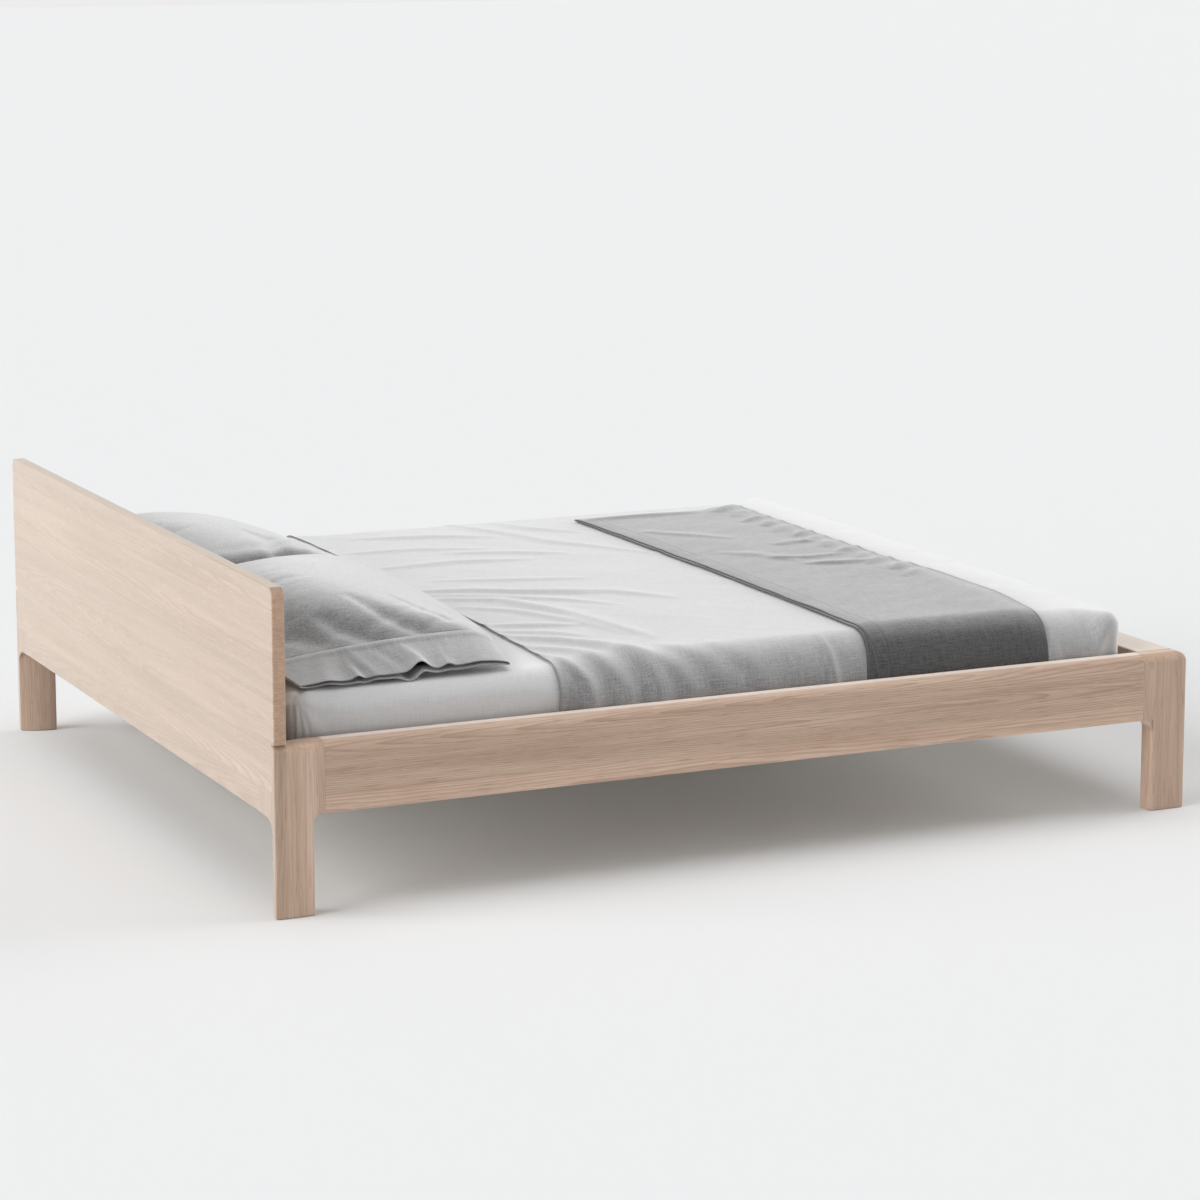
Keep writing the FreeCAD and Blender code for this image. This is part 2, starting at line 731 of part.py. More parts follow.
def slat_place(i):
    """Middle of slat i along the bed."""
    first = head_ledge_front + slat_first_inset + slat_width / 2
    last = foot_ledge_front - slat_first_inset - slat_width / 2
    return first + (last - first) * i / (slat_count - 1)


def slat(i):
    x = slat_place(i)
    reach = rail_inner - slat_end_gap
    board = box(x - slat_width / 2, x + slat_width / 2, -reach, reach, slat_bottom, slat_top)
    edges = [{"x": x + slat_width / 2 * s, "z": z} for s in (-1, 1) for z in (slat_bottom, slat_top)]
    return rounded(board, slat_edge_round, *edges)


def slat_tape():
    """Left tape, stapled along the tops of the slats to keep their distance."""
    y = -rail_inner + tape_inset
    start = slat_place(0) - slat_width / 4
    end = slat_place(slat_count - 1) + slat_width / 4
    return box(start, end, y - tape_width / 2, y + tape_width / 2, slat_top, slat_top + tape_thickness)


def glide(x, y):
    """A nail-on glide with a domed face, let into the end of a leg."""
    body = cylinder(glide_radius, glide_height, V(x, y, 0), V(0, 0, 1))
    rim = [e for e in body.Edges if len(e.Vertexes) == 1 and e.BoundBox.ZMax < glide_height / 2]
    return body.makeChamfer(glide_proud / 2, rim)


def glide_places():
    head_x = head_leg_front - glide_inset
    foot_x = half_length - foot_leg_width / 2
    y = half_width - glide_inset
    return [(head_x, -y), (head_x, y), (foot_x, -y), (foot_x, y)]


# Mattress and bedding

def mattress_outline(x, inset, grow):
    """Cross-section of the mattress at x: crowned top, rounded rims and drawn-in sides."""
    half = mattress_side - inset + grow
    rim = mattress_top_round + grow
    base = mattress_bottom_round + grow
    low = mattress_bottom + inset - grow
    crown_end = mattress_top - mattress_crown - inset + grow
    crown = mattress_top - inset + grow
    waist = (low + base + crown_end - rim) / 2
    edges = [line(V(x, base - half, low), V(x, half - base, low))]
    for s in (1, -1):
        foot = V(x, (half - base) * s, low)
        foot_mid = V(x, (half - base * (1 - math.sqrt(0.5))) * s, low + base * (1 - math.sqrt(0.5)))
        side_low = V(x, half * s, low + base)
        side_mid = V(x, (half - mattress_draw_in) * s, waist)
        side_high = V(x, half * s, crown_end - rim)
        rim_mid = V(x, (half - rim * (1 - math.sqrt(0.5))) * s, crown_end - rim * (1 - math.sqrt(0.5)))
        rim_top = V(x, (half - rim) * s, crown_end)
        edges += [arc(foot, foot_mid, side_low), arc(side_low, side_mid, side_high),
                  arc(side_high, rim_mid, rim_top)]
    edges.append(arc(V(x, half - rim, crown_end), V(x, 0, crown), V(x, rim - half, crown_end)))
    return Part.Wire(Part.__sortEdges__(edges))


def mattress_form(grow):
    """The mattress, or the same form grown by a distance all round."""
    end = mattress_end_round
    head_caps = []
    foot_caps = []
    for share in cap_depth_shares:
        depth = end * share
        inset = end - math.sqrt(end ** 2 - (end - depth) ** 2)
        depth -= grow
        head_caps.append(mattress_outline(mattress_head + depth, inset, grow))
        foot_caps.append(mattress_outline(mattress_foot - depth, inset, grow))
    head_end = Part.makeLoft(head_caps, True, False)
    foot_end = Part.makeLoft(foot_caps, True, False)
    trunk_start = mattress_head + end - grow
    trunk = Part.Face(mattress_outline(trunk_start, 0, grow))
    trunk = trunk.extrude(V(mattress_length - end * 2 + grow * 2, 0, 0))
    return one_solid(trunk.fuse([head_end, foot_end]))


def layer(low, high, x0, x1, y1, z0):
    """Part of a cloth that lies between two distances from the mattress."""
    shell = mattress_form(high).cut(mattress_form(low))
    reach = half_width + overrun
    return shell.common(box(x0, x1, -reach, y1, z0, mattress_top + half_width))


def cover_sheet():
    """Cover over the mattress, tucked down between it and the frame on three sides."""
    high = cover_gap + cover_thickness
    end = mattress_foot + high + overrun
    start = mattress_head + cover_head_inset
    return layer(cover_gap, high, start, end, half_width, mattress_bottom + cover_hem_rise)


def blanket():
    """Blanket folded double, open towards the head, with its near end tucked in."""
    base = cover_gap + cover_thickness + cover_gap
    middle = base + blanket_layer
    top = middle + blanket_layer
    fold = mattress_foot - blanket_foot_inset
    open_edge = fold - blanket_width
    far = mattress_side - blanket_side_inset
    hem = mattress_bottom + blanket_hem_rise
    lower = layer(base, middle, open_edge, fold, far, hem)
    upper = layer(middle, top, open_edge + blanket_step, fold, far, hem)
    slit = layer(middle - blanket_slit / 2, middle + blanket_slit / 2, open_edge - overrun,
                 open_edge + blanket_step + blanket_slit_depth, far + overrun, hem - overrun)
    return one_solid(lower.fuse(upper).cut(slit))


def level_arc(apex, end):
    """The arc that leaves apex level and ends at end."""
    run, rise = end.x - apex.x, end.z - apex.z
    radius = (run ** 2 + rise ** 2) / (rise * 2)
    sag = radius - math.copysign(math.sqrt(radius ** 2 - run ** 2 / 4), radius)
    return arc(apex, V(apex.x + run / 2, apex.y, apex.z + sag), end)


def pillow_section(y, front_x, back_x, crest_place, crest_rise, front_rise, back_rise):
    """Section across a pillow at y: level at its crest and where it rests, seamed at both ends."""
    rest = mattress_top + seat_gap
    width = front_x - back_x
    front = V(front_x, y, rest + front_rise)
    back = V(back_x, y, rest + back_rise)
    crest = V(back_x + width * crest_place, y, rest + crest_rise)
    under = V(front_x - width * pillow_rest_share, y, rest)
    seam = V(0, 0, pillow_seam)
    edges = [level_arc(crest, back + seam), level_arc(crest, front + seam),
             line(front + seam, front), level_arc(under, front), level_arc(under, back),
             line(back, back + seam)]
    return Part.Wire(Part.__sortEdges__(edges))


def pillow(depth, height, open_end, inner_end):
    """A pillow between two places across the bed, in a case that is open at open_end."""
    front = panel_inner + pillow_back_gap + depth
    length = inner_end - open_end
    wires = []
    for place, front_pull, back_pull, crest_place, crest, front_rise, back_rise in zip(
            pillow_place_shares, pillow_front_shares, pillow_back_shares,
            pillow_crest_place_shares, pillow_crest_shares, pillow_front_rise_shares,
            pillow_back_rise_shares):
        wires.append(pillow_section(
            open_end + length * place, front - depth * front_pull, front - depth * (1 - back_pull),
            crest_place, height * crest, height * front_rise, height * back_rise))
    return Part.makeLoft(wires, True, False)


# Build and write

def build():
    legs_head = finished_leg(head_leg(), head_joint, -1, *glide_places()[0])
    legs_foot = finished_leg(foot_leg(), foot_joint, 1, *glide_places()[2])
    rail = side_rail()
    ledge = side_ledge()
    tape = slat_tape()
    nodes = {
        "headboard_panel": headboard_panel(),
        "head_leg_left": legs_head,
        "head_leg_right": mirrored(legs_head),
        "foot_leg_left": legs_foot,
        "foot_leg_right": mirrored(legs_foot),
        "side_rail_left": rail,
        "side_rail_right": mirrored(rail),
        "foot_rail": foot_rail(),
        "side_ledge_left": ledge,
        "side_ledge_right": mirrored(ledge),
        "head_ledge": end_ledge(panel_inner, head_ledge_front, head_ledge_front),
        "foot_ledge": end_ledge(foot_ledge_front, foot_web_inner, foot_ledge_front),
        "centre_beam": centre_beam(),
        "beam_hanger_head": beam_hanger(head_ledge_front, 1),
        "beam_hanger_foot": beam_hanger(foot_ledge_front, -1),
        "centre_leg": centre_leg(),
        "centre_leg_plate": leg_plate(),
        "leveller_sleeve": leveller_sleeve(),
        "leveller_foot": leveller_foot(),
        "slat_tape_left": tape,
        "slat_tape_right": mirrored(tape),
        "rail_hooks": rail_hooks(),
        "rail_sockets": rail_sockets(),
        "rail_fitting_screws": Part.makeCompound(plate_screws()),
        "ledge_screws": Part.makeCompound(ledge_screws()),
        "hanger_screws": Part.makeCompound(hanger_screws() + leg_plate_screws()),
        "headboard_dowels": Part.makeCompound(head_dowels()),
        "foot_rail_dowels": Part.makeCompound(foot_dowels()),
        "leg_glides": Part.makeCompound([glide(x, y) for x, y in glide_places()]),
        "mattress": mattress_form(0),
        "cover_sheet": cover_sheet(),
        "blanket": blanket(),
        "pillow_left": pillow(pillow_left_depth, pillow_left_height,
                              pillow_left_inset - mattress_side, pillow_split - pillow_gap / 2),
        "pillow_right": pillow(pillow_right_depth, pillow_right_height,
                               mattress_side - pillow_right_inset, pillow_split + pillow_gap / 2),
    }
    for i in range(slat_count):
        nodes[f"slat_{i + 1:02d}"] = slat(i)
    return nodes


os.makedirs("parts", exist_ok=True)
for name, shape in build().items():
    shape.exportStep(f"parts/{name}.step")
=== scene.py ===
import math

import bmesh
import bpy
import numpy as np
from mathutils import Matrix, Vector, noise


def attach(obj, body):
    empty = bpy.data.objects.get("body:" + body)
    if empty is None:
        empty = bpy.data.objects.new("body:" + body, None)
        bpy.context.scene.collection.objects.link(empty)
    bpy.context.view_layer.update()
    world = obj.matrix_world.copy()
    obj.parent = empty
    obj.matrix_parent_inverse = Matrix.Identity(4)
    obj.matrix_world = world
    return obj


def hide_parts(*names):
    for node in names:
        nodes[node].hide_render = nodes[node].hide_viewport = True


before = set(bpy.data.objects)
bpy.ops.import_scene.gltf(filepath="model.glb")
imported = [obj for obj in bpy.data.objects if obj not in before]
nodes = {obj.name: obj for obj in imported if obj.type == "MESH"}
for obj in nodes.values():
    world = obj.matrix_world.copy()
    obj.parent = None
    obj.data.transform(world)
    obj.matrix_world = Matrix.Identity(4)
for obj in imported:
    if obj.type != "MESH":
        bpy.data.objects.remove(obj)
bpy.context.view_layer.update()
print("frame loaded:", len(nodes), "nodes")


# Shader wiring: a socket that adds, multiplies and compares as numbers do

class Wire:
    def __init__(self, paint, socket):
        self.paint, self.socket = paint, socket

    def math(self, operation, first, second=None):
        values = {0: first} if second is None else {0: first, 1: second}
        return self.paint.put("Math", {"operation": operation}, values)

    def __add__(self, other):
        return self.math("ADD", self, other)

    def __radd__(self, other):
        return self.math("ADD", other, self)

    def __sub__(self, other):
        return self.math("SUBTRACT", self, other)

    def __rsub__(self, other):
        return self.math("SUBTRACT", other, self)

    def __mul__(self, other):
        return self.math("MULTIPLY", self, other)

    def __rmul__(self, other):
        return self.math("MULTIPLY", other, self)

    def __truediv__(self, other):
        return self.math("DIVIDE", self, other)

    def __pow__(self, other):
        return self.math("POWER", self, other)

    def __gt__(self, other):
        return self.math("GREATER_THAN", self, other)

    def __abs__(self):
        return self.math("ABSOLUTE", self)

    def sin(self):
        return self.math("SINE", self)

    def fract(self):
        return self.math("FRACT", self)

    def root(self):
        return self.math("SQRT", self)


class Paint:
    def __init__(self, holder):
        # holder is a material or a world
        holder.use_nodes = True
        self.holder, self.tree = holder, holder.node_tree
        self.tree.nodes.clear()

    def put(self, kind, settings=None, values=None, out=0):
        node = self.tree.nodes.new("ShaderNode" + kind)
        for key, value in (settings or {}).items():
            setattr(node, key, value)
        for key, value in (values or {}).items():
            self.feed(node.inputs[key], value)
        return Wire(self, node.outputs[out]) if node.outputs else None

    def feed(self, socket, value):
        if isinstance(value, Wire):
            self.tree.links.new(value.socket, socket)
        elif socket.type == "RGBA" and len(value) == 3:
            socket.default_value = (*value, 1)
        else:
            socket.default_value = value

    def coat(self, values):
        shader = self.put("BsdfPrincipled", None, values)
        self.put("OutputMaterial", None, {"Surface": shader})
        return self.holder

    def split(self, vector):
        node = self.put("SeparateXYZ", None, {0: vector}).socket.node
        return [Wire(self, node.outputs[i]) for i in range(3)]

    def join(self, x, y, z):
        return self.put("CombineXYZ", None, {0: x, 1: y, 2: z})

    def place(self):
        return self.put("TexCoord", out="Object")

    def surface(self):
        return self.put("UVMap", {"uv_map": "flat"})

    def noise(self, vector, scale, detail=2.0, roughness=0.5):
        values = {"Vector": vector, "Scale": scale, "Detail": detail, "Roughness": roughness}
        return self.put("TexNoise", {"noise_dimensions": "3D"}, values)

    def mix(self, share, first, second, blend="MIX"):
        # of a Mix node, the colours are the sockets 6 and 7 and their mixture is the output 2
        return self.put("Mix", {"data_type": "RGBA", "blend_type": blend}, {0: share, 6: first, 7: second}, 2)

    def spread(self, value, low, high, start=0.0, end=1.0):
        values = {"Value": value, "From Min": low, "From Max": high, "To Min": start, "To Max": end}
        return self.put("MapRange", {"clamp": True}, values)

    def bump(self, height, strength, distance):
        return self.put("Bump", None, {"Height": height, "Strength": strength, "Distance": distance})


def newPaint(name):
    return Paint(bpy.data.materials.new(name))


# Timber

oakLook = {
    "light": (0.675, 0.500, 0.390), "dark": (0.505, 0.350, 0.260), "late": (0.41, 0.273, 0.193),
    "pore": (0.26, 0.154, 0.101), "fleck": (0.75, 0.59, 0.47), "end": (0.515, 0.340, 0.235),
    # the next colour, share and angles set a painted sheen that pales the wood at a low angle
    "paintedSheen": (0.93, 0.855, 0.795), "paintedSheenShare": 0.85, "paintedSheenFrom": 0.50, "paintedSheenTo": 0.84,
    "lateShare": 0.75, "poreShare": 0.70, "fleckShare": 0.20,
    "lateFrom": 0.45, "lateTo": 0.95, "poreFrom": 0.575, "poreTo": 0.70, "fleckFrom": 0.60, "fleckTo": 0.72,
    "ringWidth": 0.0044, "bend": 0.016, "wave": 0.0022, "grainBump": 0.35, "grainDepth": 0.0006,
    "roughness": 0.42, "staveTint": 0.12, "paintedBackShade": 1.0,
    "warm": (1.0, 0.955, 0.90), "warmShare": 0.35, "endShades": (0.84, 1.12),
}
# a stave: how far to the side its pith may lie, how far behind the face, how much further and how much it
# may lean; how far apart the staves are cut from the noises; and where an outer stave has its middle
pith = {"aside": 0.11, "behind": 0.016, "further": 0.06, "lean": 0.09, "stavesApart": 9.0, "edgeStave": 0.03}
# how fine each noise is along the grain, across it and into the wood, then its detail and roughness
grainNoises = {
    "bend": ((1.6, 9.0, 9.0), 2.0, 0.5), "wave": ((6.0, 40.0, 40.0), 1.0, 0.5),
    "fine": ((7.0, 400.0, 400.0), 3.0, 0.6), "broad": ((1.8, 42.0, 42.0), 2.0, 0.5),
    "pores": ((15.0, 460.0, 460.0), 1.5, 0.5), "flecks": ((30.0, 210.0, 40.0), 1.5, 0.5),
    "endGrain": ((300.0, 260.0, 90.0), 2.0, 0.6),
}


def timber(name, along, across, depth, seams, seed, look, tones=()):
    # depth is where the face lies on the third axis; the rings of each stave turn round a pith of its own
    paint = newPaint(name)
    axes = paint.split(paint.place())
    a, c = axes["xyz".index(along)], axes["xyz".index(across)]
    d = axes[3 - "xyz".index(along) - "xyz".index(across)]
    middles = [0.0]
    if seams:
        between = [(p + q) / 2 for p, q in zip(seams, seams[1:])]
        middles = [seams[0] - pith["edgeStave"], *between, seams[-1] + pith["edgeStave"]]
    tones = tones or (1.0,) * len(middles)
    stave, middle, tone = 0.0, middles[0], tones[0]
    for i, seam in enumerate(seams):
        past = c > seam
        stave = past + stave
        middle = past * (middles[i + 1] - middles[i]) + middle
        tone = past * (tones[i + 1] - tones[i]) + tone
    chance = paint.put("TexWhiteNoise", {"noise_dimensions": "1D"}, {"W": stave + seed}, out="Color")
    r1, r2, r3 = paint.split(chance)
    lengthwise = a + r1 * pith["stavesApart"]

    def grain(key, start):
        (long, wide, deep), detail, roughness = grainNoises[key]
        return paint.noise(paint.join(start * long, c * wide, d * deep), 1.0, detail, roughness)

    bend, wave = grain("bend", lengthwise) - 0.5, grain("wave", lengthwise) - 0.5
    pithC = c - middle + (r2 - 0.5) * pith["aside"]
    pithD = d - depth + pith["behind"] + r3 * pith["further"] + a * ((r1 - 0.5) * pith["lean"])
    ring = (pithC * pithC + pithD * pithD).root() + bend * look["bend"] + wave * look["wave"]
    phase = (ring / look["ringWidth"]).fract()
    late = paint.spread(phase, look["lateFrom"], look["lateTo"]) * paint.spread(phase, 1.0, look["lateTo"])
    fine, broad = grain("fine", lengthwise), grain("broad", lengthwise)
    # the pores show most where a ring begins
    pore = paint.spread(grain("pores", lengthwise), look["poreFrom"], look["poreTo"])
    pore = pore * paint.spread(phase, 0.5, 0.0, 0.4, 1.0)
    fleck = paint.spread(grain("flecks", lengthwise), look["fleckFrom"], look["fleckTo"])
    colour = paint.mix(paint.spread(broad + fine * 0.55, 0.58, 1.0), look["dark"], look["light"])
    colour = paint.mix(late * look["lateShare"], colour, look["late"])
    colour = paint.mix(pore * look["poreShare"], colour, look["pore"])
    colour = paint.mix(fleck * look["fleckShare"], colour, look["fleck"])
    normal = paint.split(paint.put("TexCoord", out="Normal"))
    # painted shade: the faces that look the same way as the headboard's back are darkened
    back = paint.spread(normal[0], -0.5, -0.9, 1.0, look["paintedBackShade"])
    shade = (1.0 - look["staveTint"] * 0.5 + r2 * look["staveTint"]) * tone * back
    warm = paint.mix(r3 * look["warmShare"], (1.0, 1.0, 1.0), look["warm"])
    colour = paint.mix(1.0, colour, paint.join(shade, shade, shade), "MULTIPLY")
    colour = paint.mix(1.0, colour, warm, "MULTIPLY")
    # end grain is darker and warmer, and shows its rings and pores as short bands
    facing = normal["xyz".index(along)]
    endDark, endLight = (tuple(share * v for v in look["end"]) for share in look["endShades"])
    bands = paint.spread(grain("endGrain", a) + broad * 0.5, 0.5, 0.95)
    endColour = paint.mix(bands, endDark, endLight)
    facing = paint.spread(abs(facing), 0.6, 0.9)
    colour = paint.mix(facing, colour, endColour)
    # painted sheen: the oiled surface is painted paler, towards the sheen colour, where it is seen at a low
    # angle
    low = paint.put("LayerWeight", None, {"Blend": 0.5}, out="Facing")
    low = paint.spread(low, look["paintedSheenFrom"], look["paintedSheenTo"], 0.0, look["paintedSheenShare"]) * (1.0 - facing * 0.5)
    colour = paint.mix(low, colour, paint.mix(0.50, look["paintedSheen"], colour, "SOFT_LIGHT"))
    height = fine * 0.4 + late * 0.25 - pore * 0.6
    rough = paint.spread(fine + pore, 0.2, 1.0, look["roughness"] - 0.05, look["roughness"] + 0.12)
    normal = paint.bump(height, look["grainBump"], look["grainDepth"])
    return paint.coat({"Base Color": colour, "Roughness": rough, "Normal": normal})


headboardSeams = (0.262, 0.316, 0.372, 0.45, 0.50, 0.557, 0.612, 0.657)
headboardTones = (0.93, 0.98, 0.96, 1.01, 0.97, 1.03, 0.98, 1.01, 0.99)
railSeams, railTones = (0.250, 0.331), (1.11, 0.98, 0.98)
headLegSeams = (-1.073, -1.03)
legLook = dict(oakLook, lateShare=0.42, poreShare=0.6, fleckShare=0.15)
# the head legs: a darker painted sheen, and painted shade on their back faces
headLegLook = dict(legLook, paintedSheen=(0.68, 0.62, 0.56), paintedBackShade=0.68)
baseLook = dict(oakLook, light=(0.85, 0.77, 0.66), dark=(0.75, 0.65, 0.53), late=(0.69, 0.57, 0.44),
                pore=(0.60, 0.47, 0.34), end=(0.62, 0.50, 0.37), paintedSheenShare=0.2, roughness=0.62,
                ringWidth=0.003)
beechLook = dict(baseLook, light=(0.78, 0.60, 0.44), dark=(0.68, 0.50, 0.34), ringWidth=0.0022)
# painted shade: the headboard panel gets a darker copy of the same oak, offsetting the head lamp's strong
# light on its back, with a darker painted sheen
shadedHeadboardLook = dict(oakLook, light=(0.46, 0.344, 0.272), dark=(0.32, 0.226, 0.166), late=(0.264, 0.178, 0.122),
                pore=(0.25, 0.15, 0.096), fleck=(0.62, 0.53, 0.46), fleckShare=0.34, poreShare=0.6,
                lateShare=0.75, paintedSheen=(0.68, 0.62, 0.56))
finishes = {
    "headboard_panel": timber("oakHeadboard", "y", "z", -1.087, headboardSeams, 3.0, shadedHeadboardLook,
                              headboardTones),
    "foot_rail": timber("oakFootRail", "y", "x", 0.42, (1.045,), 17.0, oakLook),
    "side_rail_left": timber("oakRailLeft", "x", "z", -0.93, railSeams, 31.0, oakLook, railTones),
    "side_rail_right": timber("oakRailRight", "x", "z", 0.93, railSeams, 44.0, oakLook, railTones),
    "head_leg_left": timber("oakHeadLegLeft", "z", "x", -0.93, headLegSeams, 52.0, headLegLook,
                            (0.86, 1.03, 1.03)),
    # painted shade: the far head leg is darkened as a whole, for the shade it stands in under the headboard
    # and the bed
    "head_leg_right": timber("oakHeadLegRight", "z", "x", 0.93, headLegSeams, 61.0, headLegLook,
                             (0.82, 0.82, 0.82)),
    "foot_leg_left": timber("oakFootLegLeft", "z", "x", -0.93, (1.04,), 71.0, legLook, (0.97, 0.97)),
    "foot_leg_right": timber("oakFootLegRight", "z", "x", 0.93, (1.05,), 83.0, legLook),
}
slats = [name for name in nodes if name.startswith("slat_") and name[5:].isdigit()]
firstSlatSeam, slatPitch = -0.95, 0.1427
slatSeams = tuple(round(firstSlatSeam + i * slatPitch, 3) for i in range(len(slats)))
ledgeTimber = timber("pineAlong", "x", "z", 0.0, (), 5.0, baseLook)
crossTimber = timber("pineAcross", "y", "x", 0.2, slatSeams, 9.0, baseLook)
postTimber = timber("pineUpright", "z", "x", 0.0, (), 12.0, baseLook)
dowelTimber = timber("beechPeg", "y", "z", -1.0, (), 14.0, beechLook)
for name in ("side_ledge_left", "side_ledge_right", "centre_beam"):
    finishes[name] = ledgeTimber
for name in ["head_ledge", "foot_ledge", *slats]:
    finishes[name] = crossTimber
finishes["centre_leg"] = postTimber
finishes["headboard_dowels"] = finishes["foot_rail_dowels"] = dowelTimber


# Metal, plastic and tape

steelLook = {
    "dark": (0.56, 0.57, 0.59), "light": (0.70, 0.71, 0.73), "cloud": 60.0, "grit": 900.0,
    "smooth": 0.28, "rough": 0.46, "bump": 0.15, "depth": 0.0002,
}
plasticLook = {
    "dark": (0.045, 0.045, 0.047), "light": (0.075, 0.075, 0.078), "grit": 700.0,
    "smooth": 0.42, "rough": 0.56, "bump": 0.2, "depth": 0.0003,
}
tapeLook = {
    "dark": (0.56, 0.54, 0.49), "light": (0.70, 0.68, 0.63), "ribsAcross": 2600.0, "ribsAlong": 1500.0,
    "rough": 0.9, "bump": 0.4, "depth": 0.0004,
}


def zincSteel(look):
    paint = newPaint("zincSteel")
    spot = paint.place()
    cloud = paint.noise(spot, look["cloud"], 3.0)
    grit = paint.noise(spot, look["grit"])
    colour = paint.mix(cloud, look["dark"], look["light"])
    rough = paint.spread(cloud + grit * 0.3, 0.3, 0.9, look["smooth"], look["rough"])
    normal = paint.bump(grit, look["bump"], look["depth"])
    return paint.coat({"Base Color": colour, "Metallic": 1.0, "Roughness": rough, "Normal": normal})


def footPlastic(look):
    paint = newPaint("footPlastic")
    grit = paint.noise(paint.place(), look["grit"])
    colour = paint.mix(grit, look["dark"], look["light"])
    rough = paint.spread(grit, 0.2, 0.8, look["smooth"], look["rough"])
    normal = paint.bump(grit, look["bump"], look["depth"])
    return paint.coat({"Base Color": colour, "Roughness": rough, "Normal": normal})


def tapeCloth(look):
    paint = newPaint("tapeCloth")
    x, y, _ = paint.split(paint.place())
    ribs = (x * look["ribsAcross"]).sin() * 0.5 + (y * look["ribsAlong"]).sin() * 0.5
    colour = paint.mix(paint.spread(ribs, -1, 1), look["dark"], look["light"])
    normal = paint.bump(ribs, look["bump"], look["depth"])
    return paint.coat({"Base Color": colour, "Roughness": look["rough"], "Normal": normal})


steel, plastic, tape = zincSteel(steelLook), footPlastic(plasticLook), tapeCloth(tapeLook)
for name in ("beam_hanger_head", "beam_hanger_foot", "centre_leg_plate", "leveller_sleeve", "rail_hooks",
             "rail_sockets", "rail_fitting_screws", "ledge_screws", "hanger_screws"):
    finishes[name] = steel
finishes["leveller_foot"] = finishes["leg_glides"] = plastic
finishes["slat_tape_left"] = finishes["slat_tape_right"] = tape
for name, node in nodes.items():
    if name in finishes:
        node.data.materials.clear()
        node.data.materials.append(finishes[name])
print("frame finished")


# Cloth finishes

def grey(value):
    return (value, value, value * 1.006)


# the yarns of every cloth: how fine each noise is, and what share it has in the surface
yarn = {
    "along": 26.0, "share": 0.27, "detail": 3.0, "roughness": 0.6,
    "fleck": 1.1, "fleckShare": 0.46, "fleckRoughness": 0.7, "cloud": 7.0, "cloudShare": 0.04,
    "fine": 1400.0, "fineShare": 0.2, "bump": 0.4, "depth": 0.0008, "paleBase": 0.70, "paleGrazeSheen": 0.97,
}
# how far from its line a seam starts and where it is full, its shade and its depth; the same of a cut edge,
# whose darkening is a painted shadow
seamLook = {
    "reach": (0.0035, 0.0010), "shade": 0.30, "depth": 0.8, "paintedEdgeShadowReach": (0.0020, 0.0004), "paintedEdgeShadow": 0.85,
}


def weave(name, look, flat=True):
    # threads both ways of the cloth, flecks of mixed yarn, slow clouds, and a painted sheen: the nap's colour
    # is painted paler where the cloth is seen at a low angle
    paint = newPaint(name)
    spot = paint.surface() if flat else paint.place()
    u, v, w = paint.split(spot)
    thread = look["thread"]
    warp, weft = (paint.noise(paint.join(*fineness, w * thread), 1.0, yarn["detail"], yarn["roughness"])
                  for fineness in ((u * yarn["along"], v * thread), (u * thread, v * yarn["along"])))
    fleck = paint.noise(spot, thread * yarn["fleck"], yarn["detail"], yarn["fleckRoughness"])
    cloud = paint.noise(spot, yarn["cloud"], 2.0)
    threads = (warp + weft) * yarn["share"] + fleck * yarn["fleckShare"]
    clouded = threads + (cloud - 0.5) * yarn["cloudShare"]
    tone = paint.spread(clouded, 0.5 - look["range"], 0.5 + look["range"])
    # painted sheen: the colour goes towards a paler one where the cloth is seen at a low angle
    grazeSheen = paint.put("LayerWeight", None, {"Blend": 0.5}, out="Facing")
    grazeSheen = paint.spread(grazeSheen, look["grazeSheenFrom"], look["grazeSheenTo"]) ** look["grazeSheenCurve"]
    base = paint.mix(tone, look["dark"], look["light"])
    grazeSheenColour = paint.mix(tone, look["grazeSheenDark"], look["grazeSheenLight"])
    if "pale" in look:
        # the cloth pales towards one end
        start, end, share = look["pale"]
        base = paint.mix(paint.spread(u, start, end, 0.0, share * 0.6), base, grey(yarn["paleBase"]))
        grazeSheenColour = paint.mix(paint.spread(u, start, end, 0.0, share), grazeSheenColour, grey(yarn["paleGrazeSheen"]))
    colour = paint.mix(grazeSheen * look["grazeSheen"], base, grazeSheenColour)
    for hem in look.get("hems", ()):
        seam = paint.spread(abs(u - hem), *seamLook["reach"])
        colour = paint.mix(seam * seamLook["shade"], colour, look["dark"])
        threads = threads - seam * seamLook["depth"]
    for edge in look.get("edges", ()):
        # painted shadow: along a layer's cut the colour goes to the cloth's dark tone, without the painted
        # sheen, for the shade under the hem and between the layers
        cut = paint.spread(abs(u - edge), *seamLook["paintedEdgeShadowReach"])
        colour = paint.mix(cut * seamLook["paintedEdgeShadow"], colour, look["dark"])
    fine = paint.noise(spot, yarn["fine"], 1.0)
    normal = paint.bump(threads + fine * yarn["fineShare"], yarn["bump"], yarn["depth"])
    return paint.coat({
        "Base Color": colour, "Roughness": look["roughness"], "Normal": normal,
        "Sheen Weight": look["sheen"], "Sheen Roughness": 0.4, "Sheen Tint": (1.0, 1.0, 1.0),
    })


